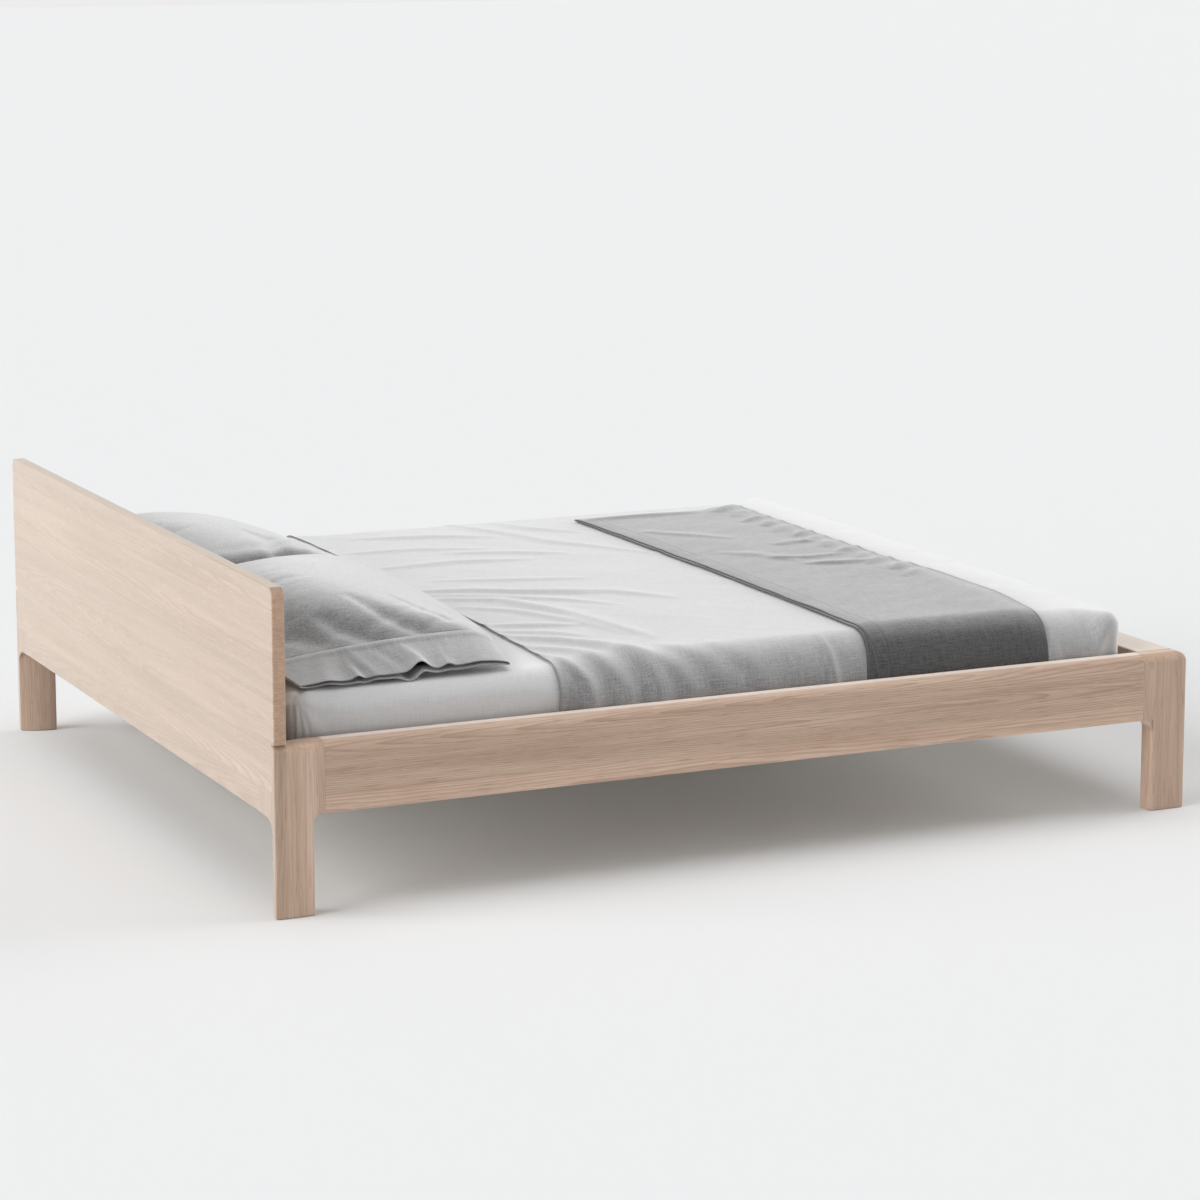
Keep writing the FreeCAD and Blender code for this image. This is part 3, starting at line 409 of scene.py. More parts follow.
sheetLook = {
    "light": grey(0.75), "dark": grey(0.57), "grazeSheenLight": grey(0.96), "grazeSheenDark": grey(0.91), "grazeSheen": 1.0,
    "grazeSheenFrom": 0.20, "grazeSheenTo": 0.85, "grazeSheenCurve": 1.0,
    "thread": 340.0, "range": 0.16, "roughness": 0.75, "sheen": 0.1,
}
coverLook = {
    "light": grey(0.355), "dark": grey(0.125), "grazeSheenLight": grey(0.815), "grazeSheenDark": grey(0.645), "grazeSheen": 0.95,
    "grazeSheenFrom": 0.07, "grazeSheenTo": 0.86, "grazeSheenCurve": 1.0,
    "thread": 340.0, "range": 0.12, "roughness": 0.7, "sheen": 0.3,
    "pale": (1.10, 1.40, 0.60), "edges": (0.0,),
}
blanketLook = {
    "light": grey(0.102), "dark": grey(0.010), "grazeSheenLight": grey(0.59), "grazeSheenDark": grey(0.285), "grazeSheen": 0.88,
    "grazeSheenFrom": 0.17, "grazeSheenTo": 0.90, "grazeSheenCurve": 1.4,
    "thread": 330.0, "range": 0.115, "roughness": 0.7, "sheen": 0.4,
    "hems": (0.041, 0.929), "edges": (0.0, 0.97),
}
pillowLook = {
    "light": grey(0.285), "dark": grey(0.092), "grazeSheenLight": grey(0.80), "grazeSheenDark": grey(0.61), "grazeSheen": 0.95,
    "grazeSheenFrom": 0.20, "grazeSheenTo": 0.74, "grazeSheenCurve": 1.15,
    "thread": 300.0, "range": 0.12, "roughness": 0.7, "sheen": 0.3,
}
hemLook = dict(pillowLook, light=grey(0.33), dark=grey(0.112), grazeSheenFrom=0.12, grazeSheenTo=0.92)
sheetCloth, coverCloth = weave("sheetCloth", sheetLook), weave("coverCloth", coverLook)
blanketCloth, hemCloth = weave("blanketCloth", blanketLook), weave("hemCloth", hemLook)
pillowCloth = weave("pillowCloth", pillowLook, flat=False)


# The mattress's own surface: a flat place on the cloth, and how far it lies off the mattress

bed = {
    "head": -1.03925, "foot": 0.96075, "side": 0.895,
    "top": 0.4605, "bottom": 0.2705,
    "round": 0.044, "footRound": 0.030, "crown": 0.004, "drawIn": 0.003, "drawnOver": 0.12,
    "rounds": ((-0.52, 0.044), (-0.30, 0.100), (0.875, 0.100), (0.931, 0.030)),
}


def roundAt(x):
    knots, values = zip(*bed["rounds"])
    place = np.interp(x, knots, range(len(knots)))
    share = place - np.floor(place)
    smooth = np.floor(place) + share * share * (3 - 2 * share)
    return np.interp(smooth, range(len(knots)), values)


def overMattress(u, v, lift):
    r = roundAt(u)
    quarter = r * math.pi / 2
    innerX = np.clip(u, bed["head"] + bed["round"], bed["foot"] - bed["footRound"])
    innerY = np.clip(v, r - bed["side"], bed["side"] - r)
    dx, dy = u - innerX, v - innerY
    reach = np.maximum(np.abs(dx), np.abs(dy))
    length = np.maximum(np.hypot(dx, dy), 1e-9)
    nx, ny = dx / length, dy / length
    turn = np.minimum(reach, quarter) / r
    down = np.maximum(reach - quarter, 0.0)
    out = (r + lift) * np.sin(turn)
    top = bed["top"] - bed["crown"] * (innerY / (bed["side"] - bed["round"])) ** 2
    drawIn = bed["drawIn"] * np.sin(np.clip(down / bed["drawnOver"], 0, 1) * math.pi)
    return np.stack([innerX + nx * (out - drawIn), innerY + ny * (out - drawIn),
                     top - r + (r + lift) * np.cos(turn) - down], axis=1)


def waves(u, v, size, seed, stretch=1.0, turn=0.0):
    # size is how far apart the waves are, stretch how many times longer they are one way
    c, s = math.cos(turn), math.sin(turn)
    return np.array([noise.noise(Vector(((a * c + b * s) / size / stretch, (b * c - a * s) / size, seed)))
                     for a, b in zip(u, v)])


def folds(u, v, lines):
    # each fold: its height, its half width, how much steeper its left flank is, and the points it passes
    total = np.zeros_like(u)
    for height, width, steep, points in lines:
        points = np.array(points)
        lengths = np.hypot(*np.diff(points, axis=0).T)
        starts = np.concatenate([[0], np.cumsum(lengths)])
        best, place, side = np.full_like(u, 1e9), np.zeros_like(u), np.ones_like(u)
        for (a, b), start, length in zip(zip(points, points[1:]), starts, lengths):
            t = np.clip(((u - a[0]) * (b - a)[0] + (v - a[1]) * (b - a)[1]) / length ** 2, 0, 1)
            ex, ey = u - a[0] - t * (b - a)[0], v - a[1] - t * (b - a)[1]
            near = np.hypot(ex, ey) < best
            best = np.where(near, np.hypot(ex, ey), best)
            place = np.where(near, (start + t * length) / starts[-1], place)
            side = np.where(near, np.sign((b - a)[0] * ey - (b - a)[1] * ex), side)
        w = width * np.where(side > 0, steep, 1.0) * (0.55 + 0.45 * np.sin(place * math.pi))
        total += height * np.sin(np.clip(place, 0.0, 1.0) * math.pi) ** 0.6 * np.exp(-(best / w) ** 2)
    return total


def flatGrid(cut):
    mesh = bmesh.new()
    uv = mesh.loops.layers.uv.new("flat")
    bmesh.ops.create_grid(mesh, x_segments=cut["columns"], y_segments=cut["rows"], size=0.5)
    for face in mesh.faces:
        for loop in face.loops:
            loop[uv].uv = (loop.vert.co.x + 0.5, loop.vert.co.y + 0.5)
    return mesh


def shares(mesh):
    flat = np.array([v.co[:2] for v in mesh.verts]) + 0.5
    return flat[:, 0], flat[:, 1]


def moveTo(mesh, points):
    for vert, point in zip(mesh.verts, points):
        vert.co = point


def bunched(share, bunch):
    # grid lines closer together towards both ends
    return share - bunch * np.sin(2 * math.pi * share)


def scaleUv(mesh, width, length, bunch=0.0):
    uv = mesh.loops.layers.uv["flat"]
    for face in mesh.faces:
        for loop in face.loops:
            s, t = loop[uv].uv
            loop[uv].uv = (bunched(s, bunch) * width, bunched(t, bunch) * length)


def finishPiece(name, mesh, material, body, thickness=None):
    # a piece without a thickness is closed
    if thickness is None:
        bmesh.ops.remove_doubles(mesh, verts=mesh.verts, dist=0.0001)
        bmesh.ops.recalc_face_normals(mesh, faces=mesh.faces)
    data = bpy.data.meshes.new(name)
    mesh.to_mesh(data)
    mesh.free()
    piece = bpy.data.objects.new(name, data)
    bpy.context.scene.collection.objects.link(piece)
    data.materials.append(material)
    data.polygons.foreach_set("use_smooth", [True] * len(data.polygons))
    if thickness is not None:
        skin = piece.modifiers.new("thickness", "SOLIDIFY")
        skin.thickness, skin.offset, skin.use_rim = thickness, 1.0, True
    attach(piece, body)
    return piece


# Mattress in its fitted sheet

mattressCut = {
    "columns": 170, "rows": 170, "bunch": 0.12, "side": 0.095, "puff": 0.0012, "sink": 0.0012,
    "pleat": ((31.0, 5.0, -0.0075), (43.0, 6.0, 0.0022)),
    "gather": 0.0016, "gatherReach": 0.12, "gathers": 9.0,
    # how high above the underside, and how far further in, the two last rings of the sheet lie
    "underEdge": ((0.012, 0.003), (0.0, 0.014)),
}


def mattressPiece():
    r = bed["round"]
    drop = r * math.pi / 2 + mattressCut["side"]
    lengthX = bed["foot"] - bed["head"] - 2 * r + 2 * drop
    lengthY = 2 * (bed["side"] - r + drop)
    mesh = flatGrid(mattressCut)
    s, t = (bunched(k, mattressCut["bunch"]) for k in shares(mesh))
    u = bed["head"] + r - drop + s * lengthX
    v = (t - 0.5) * lengthY
    lift = mattressCut["puff"] * waves(u, v, 0.11, 2.0) - mattressCut["sink"]
    inX, inY = bed["head"] + r - u, np.abs(v) - bed["side"] + r
    turn = np.degrees(np.arctan2(np.maximum(inY, 0), np.maximum(inX, 1e-6)))
    atCorner = np.clip(np.maximum(inX, inY) / r - 0.5, 0, 1) * (inX > 0) * (inY > 0)
    for angle, width, height in mattressCut["pleat"]:
        lift += atCorner * height * np.exp(-((turn - angle) / width) ** 2)
    # pleats that gather the fitted sheet at its corners
    for cornerX in (bed["head"], bed["foot"]):
        for cornerY in (-bed["side"], bed["side"]):
            far = np.hypot(u - cornerX, v - cornerY)
            angle = np.arctan2(v - cornerY, u - cornerX)
            gather = np.sin(angle * mattressCut["gathers"] + cornerX * 3)
            lift += mattressCut["gather"] * gather * np.exp(-(far / mattressCut["gatherReach"]) ** 2)
    moveTo(mesh, overMattress(u, v, lift))
    scaleUv(mesh, lengthX, lengthY, mattressCut["bunch"])
    for rise, inward in mattressCut["underEdge"]:
        out = bmesh.ops.extrude_edge_only(mesh, edges=[e for e in mesh.edges if e.is_boundary])
        for vert in (g for g in out["geom"] if isinstance(g, bmesh.types.BMVert)):
            vert.co.z = bed["bottom"] + rise
            vert.co.x -= math.copysign(inward, vert.co.x)
            vert.co.y -= math.copysign(inward, vert.co.y)
    bmesh.ops.contextual_create(mesh, geom=[e for e in mesh.edges if e.is_boundary])
    piece = finishPiece("fittedMattress", mesh, sheetCloth, "mattress")
    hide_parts("mattress")


mattressPiece()
print("mattress made")


# Cover: thin cloth over the lower two thirds, tucked down on three sides

coverCut = {
    "columns": 200, "rows": 232, "drop": 0.100, "gap": 0.0010, "thickness": 0.0013, "unevenness": 0.0016,
    "flatStart": -0.43, "edgeWave": 0.0035, "sideLift": 0.0030, "hemWidth": 0.012, "hemRise": 0.0030,
    "hemFlutter": 0.0022, "leastLift": 0.0006,
    # past the edge of the top the cloth lies calmer, by a share at the sides and at the foot
    "dropOver": 0.04, "calmFrom": 0.02, "calmOver": 0.06, "sideCalm": 0.10, "footCalm": 0.45,
    # below the rail's top edge there is less room beside the mattress
    "sideFrom": (0.93, 0.968), "sideRoom": (0.018, 0.0055),
    "edge": (
        (-0.98, -0.446), (-0.917, -0.445), (-0.795, -0.443), (-0.457, -0.428), (0.557, -0.414),
        (0.98, -0.414),
    ),
    "folds": (
        (0.0080, 0.017, 1.9, ((-0.43, -0.01), (-0.30, -0.06), (-0.20, -0.12), (-0.03, -0.21))),
        (0.0060, 0.014, 1.7, ((-0.41, -0.06), (-0.30, -0.13), (-0.14, -0.25), (-0.04, -0.36))),
        (0.0095, 0.018, 1.8, ((-0.42, -0.11), (-0.28, -0.20), (-0.20, -0.40), (-0.13, -0.72))),
        (0.0060, 0.015, 1.7, ((-0.40, -0.22), (-0.30, -0.32), (-0.22, -0.48), (-0.17, -0.66))),
        (0.0065, 0.015, 1.7, ((-0.44, -0.44), (-0.33, -0.485), (-0.22, -0.53))),
        (0.0050, 0.014, 1.7, ((-0.43, -0.51), (-0.33, -0.57), (-0.24, -0.66))),
        (0.0120, 0.020, 1.9,
         ((-0.44, -0.56), (-0.34, -0.66), (-0.27, -0.75), (-0.22, -0.87), (-0.20, -1.12))),
        (0.0085, 0.017, 1.8,
         ((-0.44, -0.68), (-0.36, -0.76), (-0.32, -0.84), (-0.29, -0.92), (-0.275, -1.12))),
        (0.0085, 0.014, 1.6, ((-0.45, -0.76), (-0.41, -0.84), (-0.375, -0.90), (-0.36, -1.12))),
        (0.0045, 0.016, 1.6, ((-0.34, 0.10), (-0.15, 0.03), (0.04, -0.03))),
        (0.0050, 0.018, 1.5, ((-0.20, -0.10), (0.00, -0.20), (0.12, -0.34))),
        (0.0055, 0.020, 1.5, ((-0.42, 0.29), (-0.20, 0.30), (0.02, 0.26))),
        (0.0045, 0.018, 1.5, ((-0.40, 0.52), (-0.20, 0.50), (-0.02, 0.44))),
        (0.0050, 0.020, 1.5, ((-0.30, 0.72), (-0.10, 0.66), (0.06, 0.58))),
        (0.0055, 0.018, 1.5, ((-0.02, 0.88), (0.08, 0.65), (0.15, 0.45), (0.33, 0.18))),
        (0.0045, 0.018, 1.5, ((0.12, 0.80), (0.18, 0.66), (0.28, 0.54))),
        (0.0050, 0.020, 1.5, ((-0.17, 0.43), (-0.02, 0.37), (0.12, 0.29))),
        (0.0055, 0.019, 1.6, ((-0.28, -0.78), (-0.17, -0.86), (-0.135, -0.93), (-0.12, -1.12))),
        (0.0045, 0.022, 1.6, ((-0.18, -0.76), (-0.08, -0.86), (-0.05, -0.93), (-0.04, -1.12))),
        (0.0030, 0.024, 1.5, ((-0.06, -0.80), (0.02, -0.88), (0.05, -0.95), (0.06, -1.12))),
        (0.0070, 0.010, 1.2, ((0.212, -0.80), (0.215, -0.93), (0.218, -1.12))),
        (-0.0100, 0.014, 1.6, ((0.805, -0.80), (0.812, -0.91), (0.82, -1.12))),
        (0.0050, 0.016, 1.5, ((0.87, -0.80), (0.89, -0.88), (0.89, -1.02))),
    ),
}


def coverPiece():
    r = bed["round"]
    drop = r * math.pi / 2 + coverCut["drop"]
    width = 2 * (bed["side"] - r + drop)
    end = bed["foot"] - r + drop
    mesh = flatGrid(coverCut)
    s, t = shares(mesh)
    v = (t - 0.5) * width
    start = np.interp(v, *zip(*coverCut["edge"])) + coverCut["edgeWave"] * waves(v, v * 0, 0.16, 5.0)
    u = start + s * (end - start)
    onDrop = np.clip((np.abs(v) - bed["side"]) / coverCut["dropOver"], 0, 1)
    rough = waves(u, v, 0.14, 11.0, 1.8, -0.7) + 0.5 * waves(u, v, 0.05, 12.0, 2.5, -0.9)
    rough = np.maximum(coverCut["unevenness"] * rough, -coverCut["leastLift"])
    lift = coverCut["gap"] + rough + coverCut["sideLift"] * onDrop + folds(u, v, coverCut["folds"])
    hem = np.exp(-((u - start) / coverCut["hemWidth"]) ** 2)
    flutter = np.maximum(waves(v, u * 0, 0.09, 21.0), 0)
    lift += hem * (coverCut["hemRise"] + coverCut["hemFlutter"] * flutter)
    onSide, atFoot = (np.clip((past + coverCut["calmFrom"]) / coverCut["calmOver"], 0, 1)
                      for past in (np.abs(v) - bed["side"], u - bed["foot"]))
    lift = lift * (1 - np.maximum(coverCut["sideCalm"] * onSide, coverCut["footCalm"] * atFoot))
    lift = np.minimum(lift, np.interp(np.abs(v), coverCut["sideFrom"], coverCut["sideRoom"]))
    moveTo(mesh, overMattress(u, v, np.maximum(lift, coverCut["leastLift"])))
    length = end - coverCut["flatStart"]
    scaleUv(mesh, length, width)
    piece = finishPiece("bedCover", mesh, coverCloth, "mattress", coverCut["thickness"])
    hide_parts("cover_sheet")


coverPiece()
print("cover made")


# Blanket: folded double, its fold towards the foot and its near end hanging down beside the mattress

blanketCut = {
    "columns": 118, "rows": 190, "drop": 0.088, "thickness": 0.0022, "foldRadius": 0.004,
    "flatWidth": 0.97, "farEnd": 0.70, "foldShare": 0.016, "base": 0.0036, "slack": 0.0022, "gap": 0.0026,
    "underWave": 0.002, "overWave": 0.003, "farShort": 0.004, "soft": 0.0014, "softFine": 0.0008,
    "leastSoft": 0.001, "wrinkleShare": 0.5, "topFrom": 0.03, "topOver": 0.05,
    # along the open edges, the fold and the far end: how wide the stretch is and by what share it sinks
    "edgeWidth": 0.02, "edgeSink": 0.55, "edgeFlutter": 0.005,
    "foldWidth": 0.028, "foldSink": 0.35, "foldBaseSink": 0.25, "endWidth": 0.02, "endSink": 0.45,
    # where the fold and the two open edges lie: a place across the bed, then one along it
    "fold": ((-1.05, 0.760), (-0.93, 0.760), (-0.805, 0.769), (-0.601, 0.800), (-0.35, 0.800),
             (-0.098, 0.778), (0.35, 0.788), (0.62, 0.800), (0.80, 0.804)),
    "over": ((-1.05, 0.322), (-0.93, 0.320), (-0.5, 0.318), (0.0, 0.325), (0.8, 0.324)),
    "under": ((-1.05, 0.292), (-0.93, 0.296), (-0.84, 0.312), (0.0, 0.318), (0.8, 0.321)),
    # the far end is a place along the bed, then one across it
    "far": ((0.30, 0.712), (0.40, 0.706), (0.676, 0.695), (0.76, 0.725), (0.81, 0.762)),
    "ripples": tuple(
        (0.0055 + 0.002 * math.sin(i * 2.3), 0.013 + 0.003 * math.sin(i * 1.7), 1.8,
         ((0.815, 0.80 - i * 0.083), (0.765 - 0.01 * (i % 3), 0.77 - i * 0.083),
          (0.70 - 0.02 * (i % 2), 0.71 - i * 0.083)))
        for i in range(14)),
    "folds": (
        (0.0065, 0.017, 1.7, ((0.55, -0.13), (0.63, -0.16), (0.72, -0.16))),
        (0.0050, 0.015, 1.7, ((0.50, -0.03), (0.60, -0.06), (0.71, -0.05))),
        (0.0045, 0.016, 1.6, ((0.60, 0.12), (0.66, 0.14), (0.72, 0.13))),
        (0.0035, 0.020, 1.5, ((0.38, 0.45), (0.46, 0.36), (0.55, 0.25))),
        (0.0030, 0.022, 1.5, ((0.42, 0.10), (0.50, 0.02), (0.56, -0.10))),
        (0.0050, 0.020, 1.3, ((0.33, 0.665), (0.50, 0.66), (0.66, 0.655))),
    ),
}


def blanketPiece():
    r = bed["round"]
    drop = r * math.pi / 2 + blanketCut["drop"]
    near = -(bed["side"] - r + drop)
    length = blanketCut["farEnd"] - near
    mesh = flatGrid(blanketCut)
    s, t = shares(mesh)
    # s runs over the lower layer to the fold and back over the upper layer
    turn = blanketCut["foldShare"]
    lower = s < 0.5 - turn
    upper = s > 0.5 + turn
    half = np.where(lower, s / (0.5 - turn), np.where(upper, (1 - s) / (0.5 - turn), 1.0))
    v0 = near + t * length
    fold, under, over = (np.interp(v0, *zip(*blanketCut[key])) for key in ("fold", "under", "over"))
    under = under + blanketCut["underWave"] * waves(v0, v0 * 0, 0.12, 31.0)
    over = over + blanketCut["overWave"] * waves(v0, v0 * 0, 0.2, 32.0)
    start = np.where(s < 0.5, under, over)
    u = start + half * (fold - start)
    far = np.interp(u, *zip(*blanketCut["far"])) - np.where(s < 0.5, blanketCut["farShort"], 0.0)
    v = near + t * (far - near)
    r2 = blanketCut["foldRadius"]
    angle = (np.clip(s, 0.5 - turn, 0.5 + turn) - 0.5 + turn) / (2 * turn) * math.pi
    bulge = np.where(lower | upper, 0.0, np.sin(angle) * r2)
    rise = np.where(lower, 0.0, np.where(upper, 1.0, (1 - np.cos(angle)) / 2))
    onTop = 1 - np.clip((-v - bed["side"] + blanketCut["topFrom"]) / blanketCut["topOver"], 0, 1)
    soft = (blanketCut["soft"] * waves(u, v, 0.13, 41.0, 1.5, 0.8)
            + blanketCut["softFine"] * waves(u, v, 0.05, 42.0, 2.0, 0.6))
    soft = np.maximum(soft, -blanketCut["leastSoft"])
    wrinkle = folds(u, v, blanketCut["ripples"]) + folds(u, v, blanketCut["folds"])
    wrinkle = blanketCut["wrinkleShare"] * wrinkle
    atEdge = np.exp(-((u - start) / blanketCut["edgeWidth"]) ** 2)
    atEnd = np.exp(-((far - v) / blanketCut["endWidth"]) ** 2)
    atFold = np.where(s > 0.5, np.exp(-((fold - u) / blanketCut["foldWidth"]) ** 2), 0.0) * onTop
    flutter = blanketCut["edgeFlutter"] * np.maximum(waves(v, u * 0, 0.17, 51.0), 0)
    base = blanketCut["base"] + onTop * (blanketCut["slack"] + soft + wrinkle)
    opening = (2 * r2 - blanketCut["gap"]) * (1 - blanketCut["edgeSink"] * atEdge)
    gap = blanketCut["gap"] + onTop * (opening + wrinkle + atEdge * flutter)
    gap = gap * (1 - blanketCut["endSink"] * atEnd) * (1 - blanketCut["foldSink"] * atFold)
    lift = base * (1 - blanketCut["foldBaseSink"] * atFold) + rise * gap
    # the bed cover's own folds carry the blanket
    lift += onTop * np.maximum(folds(u, v, coverCut["folds"][14:16]), 0)
    moveTo(mesh, overMattress(u + bulge, v, lift))
    width = blanketCut["flatWidth"]
    scaleUv(mesh, width, length)
    piece = finishPiece("foldedBlanket", mesh, blanketCloth, "mattress",
                        blanketCut["thickness"])
    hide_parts("blanket")


blanketPiece()
print("blanket made")


# Pillows, each in a case whose open end hangs past the stuffing

# lifts, gaps and creases of the open end: a place along the bed, a half width and a height, and for a
# crease how far it leans
pillowShapes = {
    "left": {
        "open": -0.880, "inner": 0.032, "front": -0.440, "back": -1.065, "height": 0.168, "seed": 3.0,
        "hemPlace": 0.014, "seamPlace": 0.1405, "plump": 1.0,
        "lifts": ((-0.745, 0.020, 0.019), (-0.684, 0.010, 0.006), (-0.884, 0.010, 0.008),
                  (-0.95, 0.03, 0.003), (-0.57, 0.05, 0.004)),
        "gaps": ((-0.757, 0.026, 0.020), (-0.684, 0.012, 0.006), (-0.62, 0.06, 0.003),
                 (-0.884, 0.012, 0.007)),
        "creases": ((-0.735, 0.010, 0.0070, -0.03), (-0.768, 0.013, -0.0060, -0.05),
                    (-0.705, 0.009, -0.0050, 0.02), (-0.676, 0.009, 0.0055, 0.03),
                    (-0.843, 0.011, 0.0060, -0.03), (-0.870, 0.013, -0.0055, -0.02),
                    (-0.955, 0.016, 0.0060, 0.03), (-0.918, 0.012, -0.0050, 0.03),
                    (-0.615, 0.014, 0.0050, 0.03)),
        "folds": (
            (-0.0070, 0.023, 1.2, ((-0.900, -0.650), (-0.860, -0.700), (-0.815, -0.735), (-0.77, -0.765))),
            (-0.0065, 0.019, 1.2, ((-0.810, -0.590), (-0.765, -0.665), (-0.725, -0.715), (-0.66, -0.765))),
            (-0.0050, 0.013, 1.3, ((-0.710, -0.560), (-0.665, -0.640), (-0.610, -0.715))),
            (-0.0055, 0.022, 1.3, ((-1.000, -0.690), (-0.955, -0.700), (-0.900, -0.735))),
            (-0.0040, 0.018, 1.3, ((-0.600, -0.500), (-0.565, -0.60), (-0.550, -0.70))),
            (-0.0060, 0.020, 1.2, ((-0.640, -0.020), (-0.600, -0.09), (-0.560, -0.17))),
        ),
    },
    "right": {
        "open": 0.885, "inner": 0.055, "front": -0.475, "back": -1.065, "height": 0.148, "seed": 8.0,
        "hemPlace": 0.014, "seamPlace": 0.15, "plump": 1.3,
        "lifts": ((-0.80, 0.030, 0.010), (-0.62, 0.020, 0.006)),
        "gaps": ((-0.80, 0.040, 0.008), (-0.60, 0.05, 0.004)),
        "creases": ((-0.79, 0.012, 0.006, -0.03), (-0.83, 0.013, -0.005, -0.04),
                    (-0.63, 0.011, 0.005, 0.02), (-0.92, 0.014, 0.005, 0.03)),
        "folds": (
            (-0.007, 0.018, 1.3, ((-0.72, 0.10), (-0.70, 0.20), (-0.73, 0.30))),
            (-0.006, 0.016, 1.3, ((-0.62, 0.09), (-0.58, 0.17), (-0.54, 0.22))),
            (0.005, 0.016, 1.3, ((-0.68, 0.09), (-0.66, 0.18), (-0.67, 0.27))),
            (-0.008, 0.018, 1.3, ((-0.85, 0.745), (-0.82, 0.69), (-0.80, 0.62))),
            (-0.007, 0.016, 1.3, ((-0.72, 0.745), (-0.70, 0.69), (-0.66, 0.62))),
        ),
    },
}
# the form along a pillow from its open end: shares of its depth and height, and how full its flanks are
pillowTable = {
    "place": (0.0, 0.055, 0.131, 0.173, 0.276, 0.42, 0.587, 0.753, 0.876, 0.959, 1.0),
    "front": (0.170, 0.160, 0.146, 0.122, 0.080, 0.044, 0.022, 0.012, 0.026, 0.07, 0.12),
    "back": (0.09, 0.07, 0.04, 0.03, 0.01, 0.0, 0.0, 0.0, 0.02, 0.05, 0.09),
    "crestPlace": (0.80, 0.82, 0.84, 0.72, 0.42, 0.31, 0.31, 0.42, 0.56, 0.66, 0.70),
    "crest": (0.060, 0.185, 0.345, 0.47, 0.73, 0.93, 0.98, 0.86, 0.74, 0.60, 0.36),
    "frontRise": (0.03, 0.08, 0.16, 0.16, 0.14, 0.13, 0.13, 0.13, 0.13, 0.14, 0.12),
    "backRise": (0.00, 0.05, 0.16, 0.21, 0.30, 0.36, 0.38, 0.36, 0.32, 0.28, 0.22),
    "fullFront": (3.0, 3.0, 2.8, 2.6, 2.0, 1.65, 1.6, 1.8, 2.2, 2.6, 3.0),
    "fullBack": (1.6, 1.6, 1.7, 1.9, 2.2, 2.2, 2.1, 2.2, 2.4, 2.8, 3.2),
}
pillowGrid = {
    "columns": 48, "rows": 62, "ground": 0.0012, "leastRise": 0.003, "under": 0.55, "innerEnd": 0.996,
    "roundFrom": 0.90, "roundOver": 0.10, "middleHeight": 0.30,
}
# the cloth simulation: spare cloth, pressure inside, and how much of the wrinkles is kept
pillowWrinkles = {
    "voxel": 0.0065, "frames": 20, "quality": 5, "mass": 0.25, "tension": 12, "shear": 5, "bending": 0.35,
    "pressure": 3.5, "slack": 0.022, "cap": 0.007, "deflate": 0.9, "calm": 0.45, "ground": 0.0006,
    # the held stretches as shares of the pillow, and over how many turns its swelling and wrinkles spread
    "heldPastSeam": 0.012, "heldAtEdge": 0.015, "seamFade": 0.05, "swellTurns": 70, "calmTurns": 5,
    # the folds start at this height over the mattress and are full this much higher
    "foldsFrom": 0.02, "foldsOver": 0.03,
}
caseCut = {
    "columns": 190, "rows": 30, "flat": (1.15, 0.118), "thickness": 0.0020, "seamRoom": 0.004,
    "swing": 0.0026, "broadSwing": 0.0040, "welt": 0.0022, "weltPlace": 0.10, "weltWidth": 0.06,
    "gap": 0.0050, "leastGap": 0.0016, "edgeWave": 0.004, "lowerShort": 0.003,
    # how much the rounds are crowded with columns, and how much of the pillow's own slope the flap keeps
    "crowdShare": 0.55, "slopeShare": 0.4,
    # a crease's height at the seam, and how much less it is at the hem; where the lower layer closes up
    "creaseAtSeam": 1.55, "creaseLess": 1.3, "closeFrom": 0.35, "closeOver": 0.5,
}


def tableAt(key, place):
    knots, values = np.array(pillowTable["place"]), np.array(pillowTable[key])
    slopes = np.gradient(values, knots)
    i = np.clip(np.searchsorted(knots, place) - 1, 0, len(knots) - 2)
    h = knots[i + 1] - knots[i]
    t = (place - knots[i]) / h
    return ((1 + 2 * t) * (1 - t) ** 2 * values[i] + t * (1 - t) ** 2 * h * slopes[i]
            + t * t * (3 - 2 * t) * values[i + 1] + t * t * (t - 1) * h * slopes[i + 1])


def mattressHeight(y):
    r = bed["round"]
    side = np.clip(np.abs(y) - (bed["side"] - r), 0, r * 0.98)
    flat = np.minimum(np.abs(y), bed["side"] - r) / (bed["side"] - r)
    return bed["top"] - bed["crown"] * flat ** 2 - r + np.sqrt(r ** 2 - side ** 2)


def pillowSurface(shape, place, across, upper):
    # a point of the case: place runs from its open end, across from the headboard to the front
    depth = shape["front"] - shape["back"]
    front = shape["front"] - depth * tableAt("front", place)
    back = shape["back"] + depth * tableAt("back", place)
    y = shape["open"] + (shape["inner"] - shape["open"]) * place
    ground = mattressHeight(y) + pillowGrid["ground"]
    width = front - back
    crestAt = tableAt("crestPlace", place)
    crest, *ends = (bed["top"] + shape["height"] * tableAt(key, place)
                    for key in ("crest", "backRise", "frontRise"))
    ends = [np.maximum(end, ground + pillowGrid["leastRise"]) for end in ends]
    x = back + width * across
    side = np.where(across < crestAt, (crestAt - across) / crestAt, (across - crestAt) / (1 - crestAt))
    end = np.where(across < crestAt, *ends)
    if upper:
        full = tableAt("fullFront", place) * shape["plump"]
        full = np.where(across < crestAt, tableAt("fullBack", place), full)
        z = end + (crest - end) * np.maximum(1 - side ** full, 0) ** 0.9
    else:
        under = pillowGrid["under"]
        side = np.where(across < under, (under - across) / under, (across - under) / (1 - under))
        end = np.where(across < under, *ends)
        z = ground + (end - ground) * side ** 5
    return np.stack([x, y, z], axis=1)


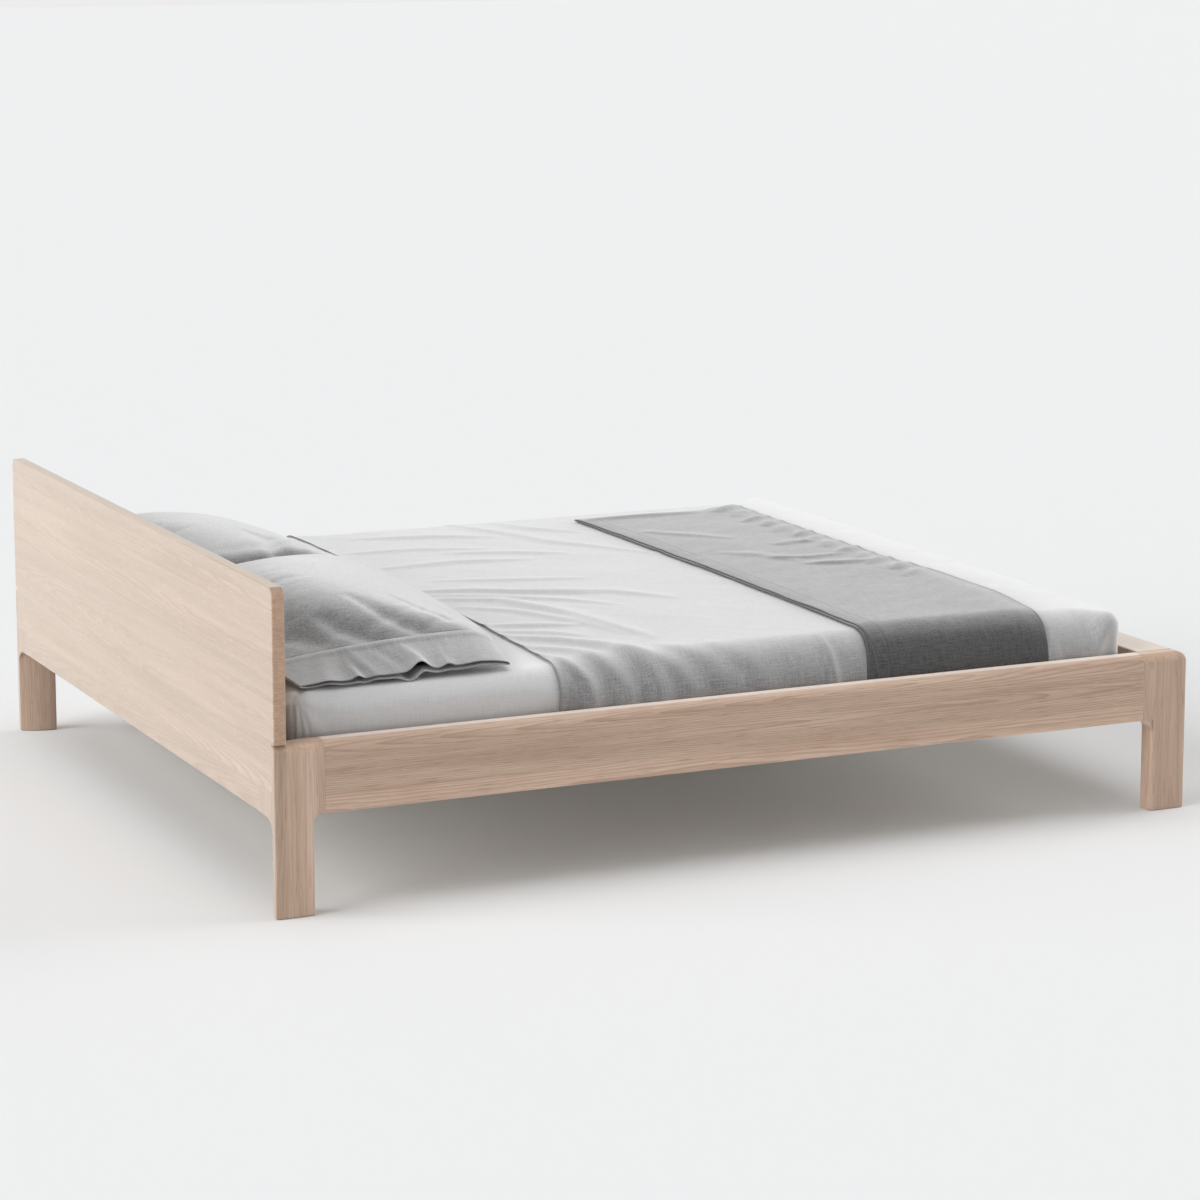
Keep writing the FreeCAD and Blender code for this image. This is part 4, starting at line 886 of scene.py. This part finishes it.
def pillowForm(shape):
    # the stuffed part: an upper and a lower grid whose rims meet at the seam
    mesh = bmesh.new()
    for upper in (True, False):
        before = len(mesh.verts)
        bmesh.ops.create_grid(mesh, x_segments=pillowGrid["columns"], y_segments=pillowGrid["rows"], size=0.5)
        mesh.verts.ensure_lookup_table()
        verts = mesh.verts[before:]
        flat = np.array([v.co[:2] for v in verts]) + 0.5
        flat = (1 - np.cos(flat * math.pi)) / 2
        place = shape["seamPlace"] + (pillowGrid["innerEnd"] - shape["seamPlace"]) * flat[:, 1]
        points = pillowSurface(shape, place, flat[:, 0], upper)
        low = pillowSurface(shape, place, flat[:, 0], not upper)
        # the inner end closes in a round, the end in the case stays as thick as the case
        inEnd = ((flat[:, 1] - pillowGrid["roundFrom"]) / pillowGrid["roundOver"]).clip(0, 1)
        close = np.sqrt(np.clip(1 - inEnd ** 2, 0, 1))
        middle = low * 0.5 + points * 0.5
        height = np.abs(points[:, 2] - low[:, 2])
        middle[:, 2] = np.minimum(points[:, 2], low[:, 2]) + pillowGrid["middleHeight"] * height
        points = middle + (points - middle) * close[:, None]
        if not upper:
            atRim = np.minimum(flat, 1 - flat).min(axis=1) < 1e-6
            rim = pillowSurface(shape, place, flat[:, 0], True)
            rim = np.where((flat[:, 1] > 0.999)[:, None], middle, rim)
            points = np.where(atRim[:, None], rim, points)
        for vert, point in zip(verts, points):
            vert.co = point
    bmesh.ops.remove_doubles(mesh, verts=mesh.verts, dist=0.0002)
    return mesh


def spreadOut(values, ends, turns):
    # each point moves towards the mean of its neighbours
    count = np.bincount(ends.ravel(), minlength=len(values))[:, None]
    first, second = ends.T
    for _ in range(turns):
        total = [np.bincount(first, column[second], len(column))
                 + np.bincount(second, column[first], len(column)) for column in values.T]
        values = 0.5 * values + 0.5 * np.stack(total, axis=1) / count
    return values


def relax(piece, shape):
    # wrinkles from a cloth simulation: a little spare cloth, blown up inside, held at the seams
    print("simulating", piece.name)
    bpy.context.view_layer.objects.active = piece
    remesh = piece.modifiers.new("remesh", "REMESH")
    remesh.mode, remesh.voxel_size = "VOXEL", pillowWrinkles["voxel"]
    bpy.ops.object.modifier_apply(modifier="remesh")
    data = piece.data
    rest = np.array([v.co for v in data.vertices])
    group = piece.vertex_groups.new(name="held")
    depth = shape["front"] - shape["back"]
    place = (rest[:, 1] - shape["open"]) / (shape["inner"] - shape["open"])
    across = (rest[:, 0] - shape["back"] - depth * tableAt("back", place)) / (
        depth * (1 - tableAt("front", place) - tableAt("back", place)))
    edge = pillowWrinkles["heldAtEdge"]
    held = (across < edge) | (across > 1 - edge) | (place > 1 - edge)
    held |= place < shape["seamPlace"] + pillowWrinkles["heldPastSeam"]
    group.add([int(i) for i in np.nonzero(held)[0]], 1.0, "REPLACE")
    cloth = piece.modifiers.new("cloth", "CLOTH")
    c = cloth.settings
    c.quality, c.mass = pillowWrinkles["quality"], pillowWrinkles["mass"]
    c.tension_stiffness = c.compression_stiffness = pillowWrinkles["tension"]
    c.shear_stiffness, c.bending_stiffness = pillowWrinkles["shear"], pillowWrinkles["bending"]
    c.vertex_group_mass, c.pin_stiffness = "held", 1.0
    c.use_pressure, c.uniform_pressure_force = True, pillowWrinkles["pressure"]
    c.shrink_min = -pillowWrinkles["slack"]
    c.effector_weights.gravity = 0
    cloth.collision_settings.use_collision = False
    cloth.point_cache.frame_start, cloth.point_cache.frame_end = 1, pillowWrinkles["frames"]
    for step in range(pillowWrinkles["frames"]):
        bpy.context.scene.frame_set(step + 1)
    graph = bpy.context.evaluated_depsgraph_get()
    moved = np.array([v.co for v in piece.evaluated_get(graph).data.vertices])
    piece.modifiers.remove(cloth)
    bpy.context.scene.frame_set(1)
    shift = moved - rest
    # the swelling is taken out again, so that the pillow keeps its size and only its wrinkles stay
    ends = np.array([e.vertices[:] for e in data.edges])
    shift -= spreadOut(shift, ends, pillowWrinkles["swellTurns"]) * pillowWrinkles["deflate"]
    size, cap = np.linalg.norm(shift, axis=1, keepdims=True), pillowWrinkles["cap"]
    shift *= cap * np.tanh(size / cap) / np.maximum(size, 1e-9)
    fade = np.clip((place - shape["seamPlace"]) / pillowWrinkles["seamFade"], 0, 1) ** 0.7
    shift = spreadOut(shift, ends, pillowWrinkles["calmTurns"]) * pillowWrinkles["calm"]
    points = rest + shift * fade[:, None]
    facing = points[:, 2] - bed["top"] - pillowWrinkles["foldsFrom"]
    facing = np.clip(facing / pillowWrinkles["foldsOver"], 0, 1)
    points[:, 2] += facing * folds(points[:, 0], points[:, 1], shape["folds"])
    points[:, 2] = np.maximum(points[:, 2], mattressHeight(points[:, 1]) + pillowWrinkles["ground"])
    data.vertices.foreach_set("co", points.astype(np.float32).ravel())
    data.update()


def caseHem(shape, key):
    # the open end: one sheet round from the back seam, over the top, round the front and back below
    mesh = flatGrid(caseCut)
    q, w = shares(mesh)
    seam = shape["seamPlace"] + caseCut["seamRoom"]
    place = seam + (shape["hemPlace"] - seam) * w
    upper = q < 0.5
    across = np.where(upper, q * 2, 2 - q * 2)
    crowd = caseCut["crowdShare"]
    across = (1 - np.cos(across * math.pi)) / 2 * crowd + across * (1 - crowd)
    top = pillowSurface(shape, place, across, True)
    low = pillowSurface(shape, place, across, False)
    atSeam, atHem = (pillowSurface(shape, np.full_like(place, shape[end]), across, True)[:, 2]
                     for end in ("seamPlace", "hemPlace"))
    slope = caseCut["slopeShare"]
    top[:, 2] = top[:, 2] * slope + (atSeam * (1 - w) + atHem * w) * (1 - slope)
    swing = (caseCut["swing"] * waves(top[:, 0], top[:, 1] * 0.3, 0.045, shape["seed"])
             + caseCut["broadSwing"] * waves(top[:, 0], top[:, 1] * 0.3, 0.11, shape["seed"] + 4))
    middle = np.clip(np.sin(across * math.pi), 0, 1) ** 0.5
    lift, gap = (sum(high * np.exp(-((top[:, 0] - at) / wide) ** 2) for at, wide, high in shape[part])
                 for part in ("lifts", "gaps"))
    crease = sum(high * np.exp(-((top[:, 0] - at - lean * (1 - w)) / wide) ** 2)
                 for at, wide, high, lean in shape["creases"])
    welt = caseCut["welt"] * np.exp(-((w - caseCut["weltPlace"]) / caseCut["weltWidth"]) ** 2)
    gap = (caseCut["gap"] + gap) * middle ** 0.6 + caseCut["leastGap"]
    crease = crease * (caseCut["creaseAtSeam"] - caseCut["creaseLess"] * w)
    top[:, 2] += w * middle * (swing + crease) + w ** 1.6 * lift + middle * welt
    # the lower layer hangs close under the upper one where the stuffing has ended
    close = np.clip((w - caseCut["closeFrom"]) / caseCut["closeOver"], 0, 1)
    close = close * close * (3 - 2 * close)
    low[:, 2] = np.maximum(low[:, 2], top[:, 2] - gap) * close + low[:, 2] * (1 - close)
    points = np.where(upper[:, None], top, low)
    edgeY = caseCut["edgeWave"] * waves(points[:, 0], np.where(upper, 0.0, 3.0), 0.10, shape["seed"] + 2)
    inwards = math.copysign(1, shape["inner"] - shape["open"])
    points[:, 1] += inwards * (edgeY - np.where(upper, 0.0, caseCut["lowerShort"])) * w
    moveTo(mesh, points)
    scaleUv(mesh, *caseCut["flat"])
    piece = finishPiece("caseHem" + key.capitalize(), mesh, hemCloth, "pillow_" + key,
                        caseCut["thickness"])
    piece.modifiers["thickness"].offset = -inwards
    soft = piece.modifiers.new("soften", "SUBSURF")
    soft.levels = soft.render_levels = 1


def makePillow(key):
    shape = pillowShapes[key]
    mesh = pillowForm(shape)
    piece = finishPiece("pillow" + key.capitalize(), mesh, pillowCloth, "pillow_" + key)
    relax(piece, shape)
    piece.data.polygons.foreach_set("use_smooth", [True] * len(piece.data.polygons))
    smooth = piece.modifiers.new("smooth", "SUBSURF")
    smooth.levels = smooth.render_levels = 1
    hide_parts("pillow_" + key)
    caseHem(shape, key)


for key in pillowShapes:
    makePillow(key)
print("pillows made")


# Floor, backdrop, light and camera

studio = {
    "floorTone": (0.839, 0.845, 0.850), "floorRough": 0.9, "floorShine": 0.1, "floorHalf": 60,
    "backTone": 0.845, "sky": 0.25,
    "lamps": {
        "topLight": {"from": (0.0, 0.01, 1.0), "spread": 60.0, "strength": 1.05},
        "headLight": {"from": (-1.0, 0.0, 0.30), "spread": 60.0, "strength": 3.30},
        "footLight": {"from": (1.0, 0.0, 0.15), "spread": 50.0, "strength": 2.00},
    },
    "camera": {
        "place": (-3.49409, -7.68147, 2.05740), "tilt": 80.726, "turn": -25.045,
        "lens": 108.194, "sensor": 36.0, "shift": (-0.00907, -0.0940),
    },
}


def floorPiece():
    material = newPaint("studioFloor").coat({
        "Base Color": studio["floorTone"], "Roughness": studio["floorRough"],
        "Specular IOR Level": studio["floorShine"],
    })
    mesh = bmesh.new()
    bmesh.ops.create_grid(mesh, x_segments=1, y_segments=1, size=studio["floorHalf"])
    data = bpy.data.meshes.new("studioFloor")
    mesh.to_mesh(data)
    mesh.free()
    floor = bpy.data.objects.new("studioFloor", data)
    bpy.context.scene.collection.objects.link(floor)
    data.materials.append(material)


def addLamp(name, values):
    lamp = bpy.data.lights.new(name, "SUN")
    lamp.angle, lamp.energy = math.radians(values["spread"]), values["strength"]
    holder = bpy.data.objects.new(name, lamp)
    holder.rotation_euler = Vector(values["from"]).to_track_quat("Z", "Y").to_euler()
    bpy.context.scene.collection.objects.link(holder)


def addSky():
    paint = Paint(bpy.data.worlds.new("studioSky"))
    bpy.context.scene.world = paint.holder
    # the camera, and what mirrors or lets light through, sees the backdrop; all else is lit by the sky
    camera, glossy, clear = (paint.put("LightPath", out="Is " + kind + " Ray")
                             for kind in ("Camera", "Glossy", "Transmission"))
    seen = camera.math("MAXIMUM", camera, glossy)
    seen = seen.math("MAXIMUM", seen, clear)
    sky = paint.put("Background", None, {"Color": (1.0, 1.0, 1.0), "Strength": studio["sky"]})
    backdrop = paint.put("Background", None, {"Color": (studio["backTone"],) * 3})
    paint.put("OutputWorld", None, {"Surface": paint.put("MixShader", None, {0: seen, 1: sky, 2: backdrop})})


def addCamera(values):
    data = bpy.data.cameras.new("camera")
    data.lens, data.sensor_width = values["lens"], values["sensor"]
    data.shift_x, data.shift_y = values["shift"]
    camera = bpy.data.objects.new("camera", data)
    camera.location = values["place"]
    camera.rotation_euler = (math.radians(values["tilt"]), 0.0, math.radians(values["turn"]))
    bpy.context.scene.collection.objects.link(camera)
    bpy.context.scene.camera = camera


floorPiece()
for name, values in studio["lamps"].items():
    addLamp(name, values)
addSky()
addCamera(studio["camera"])
bpy.context.scene.view_settings.view_transform = "Standard"
print("studio made")
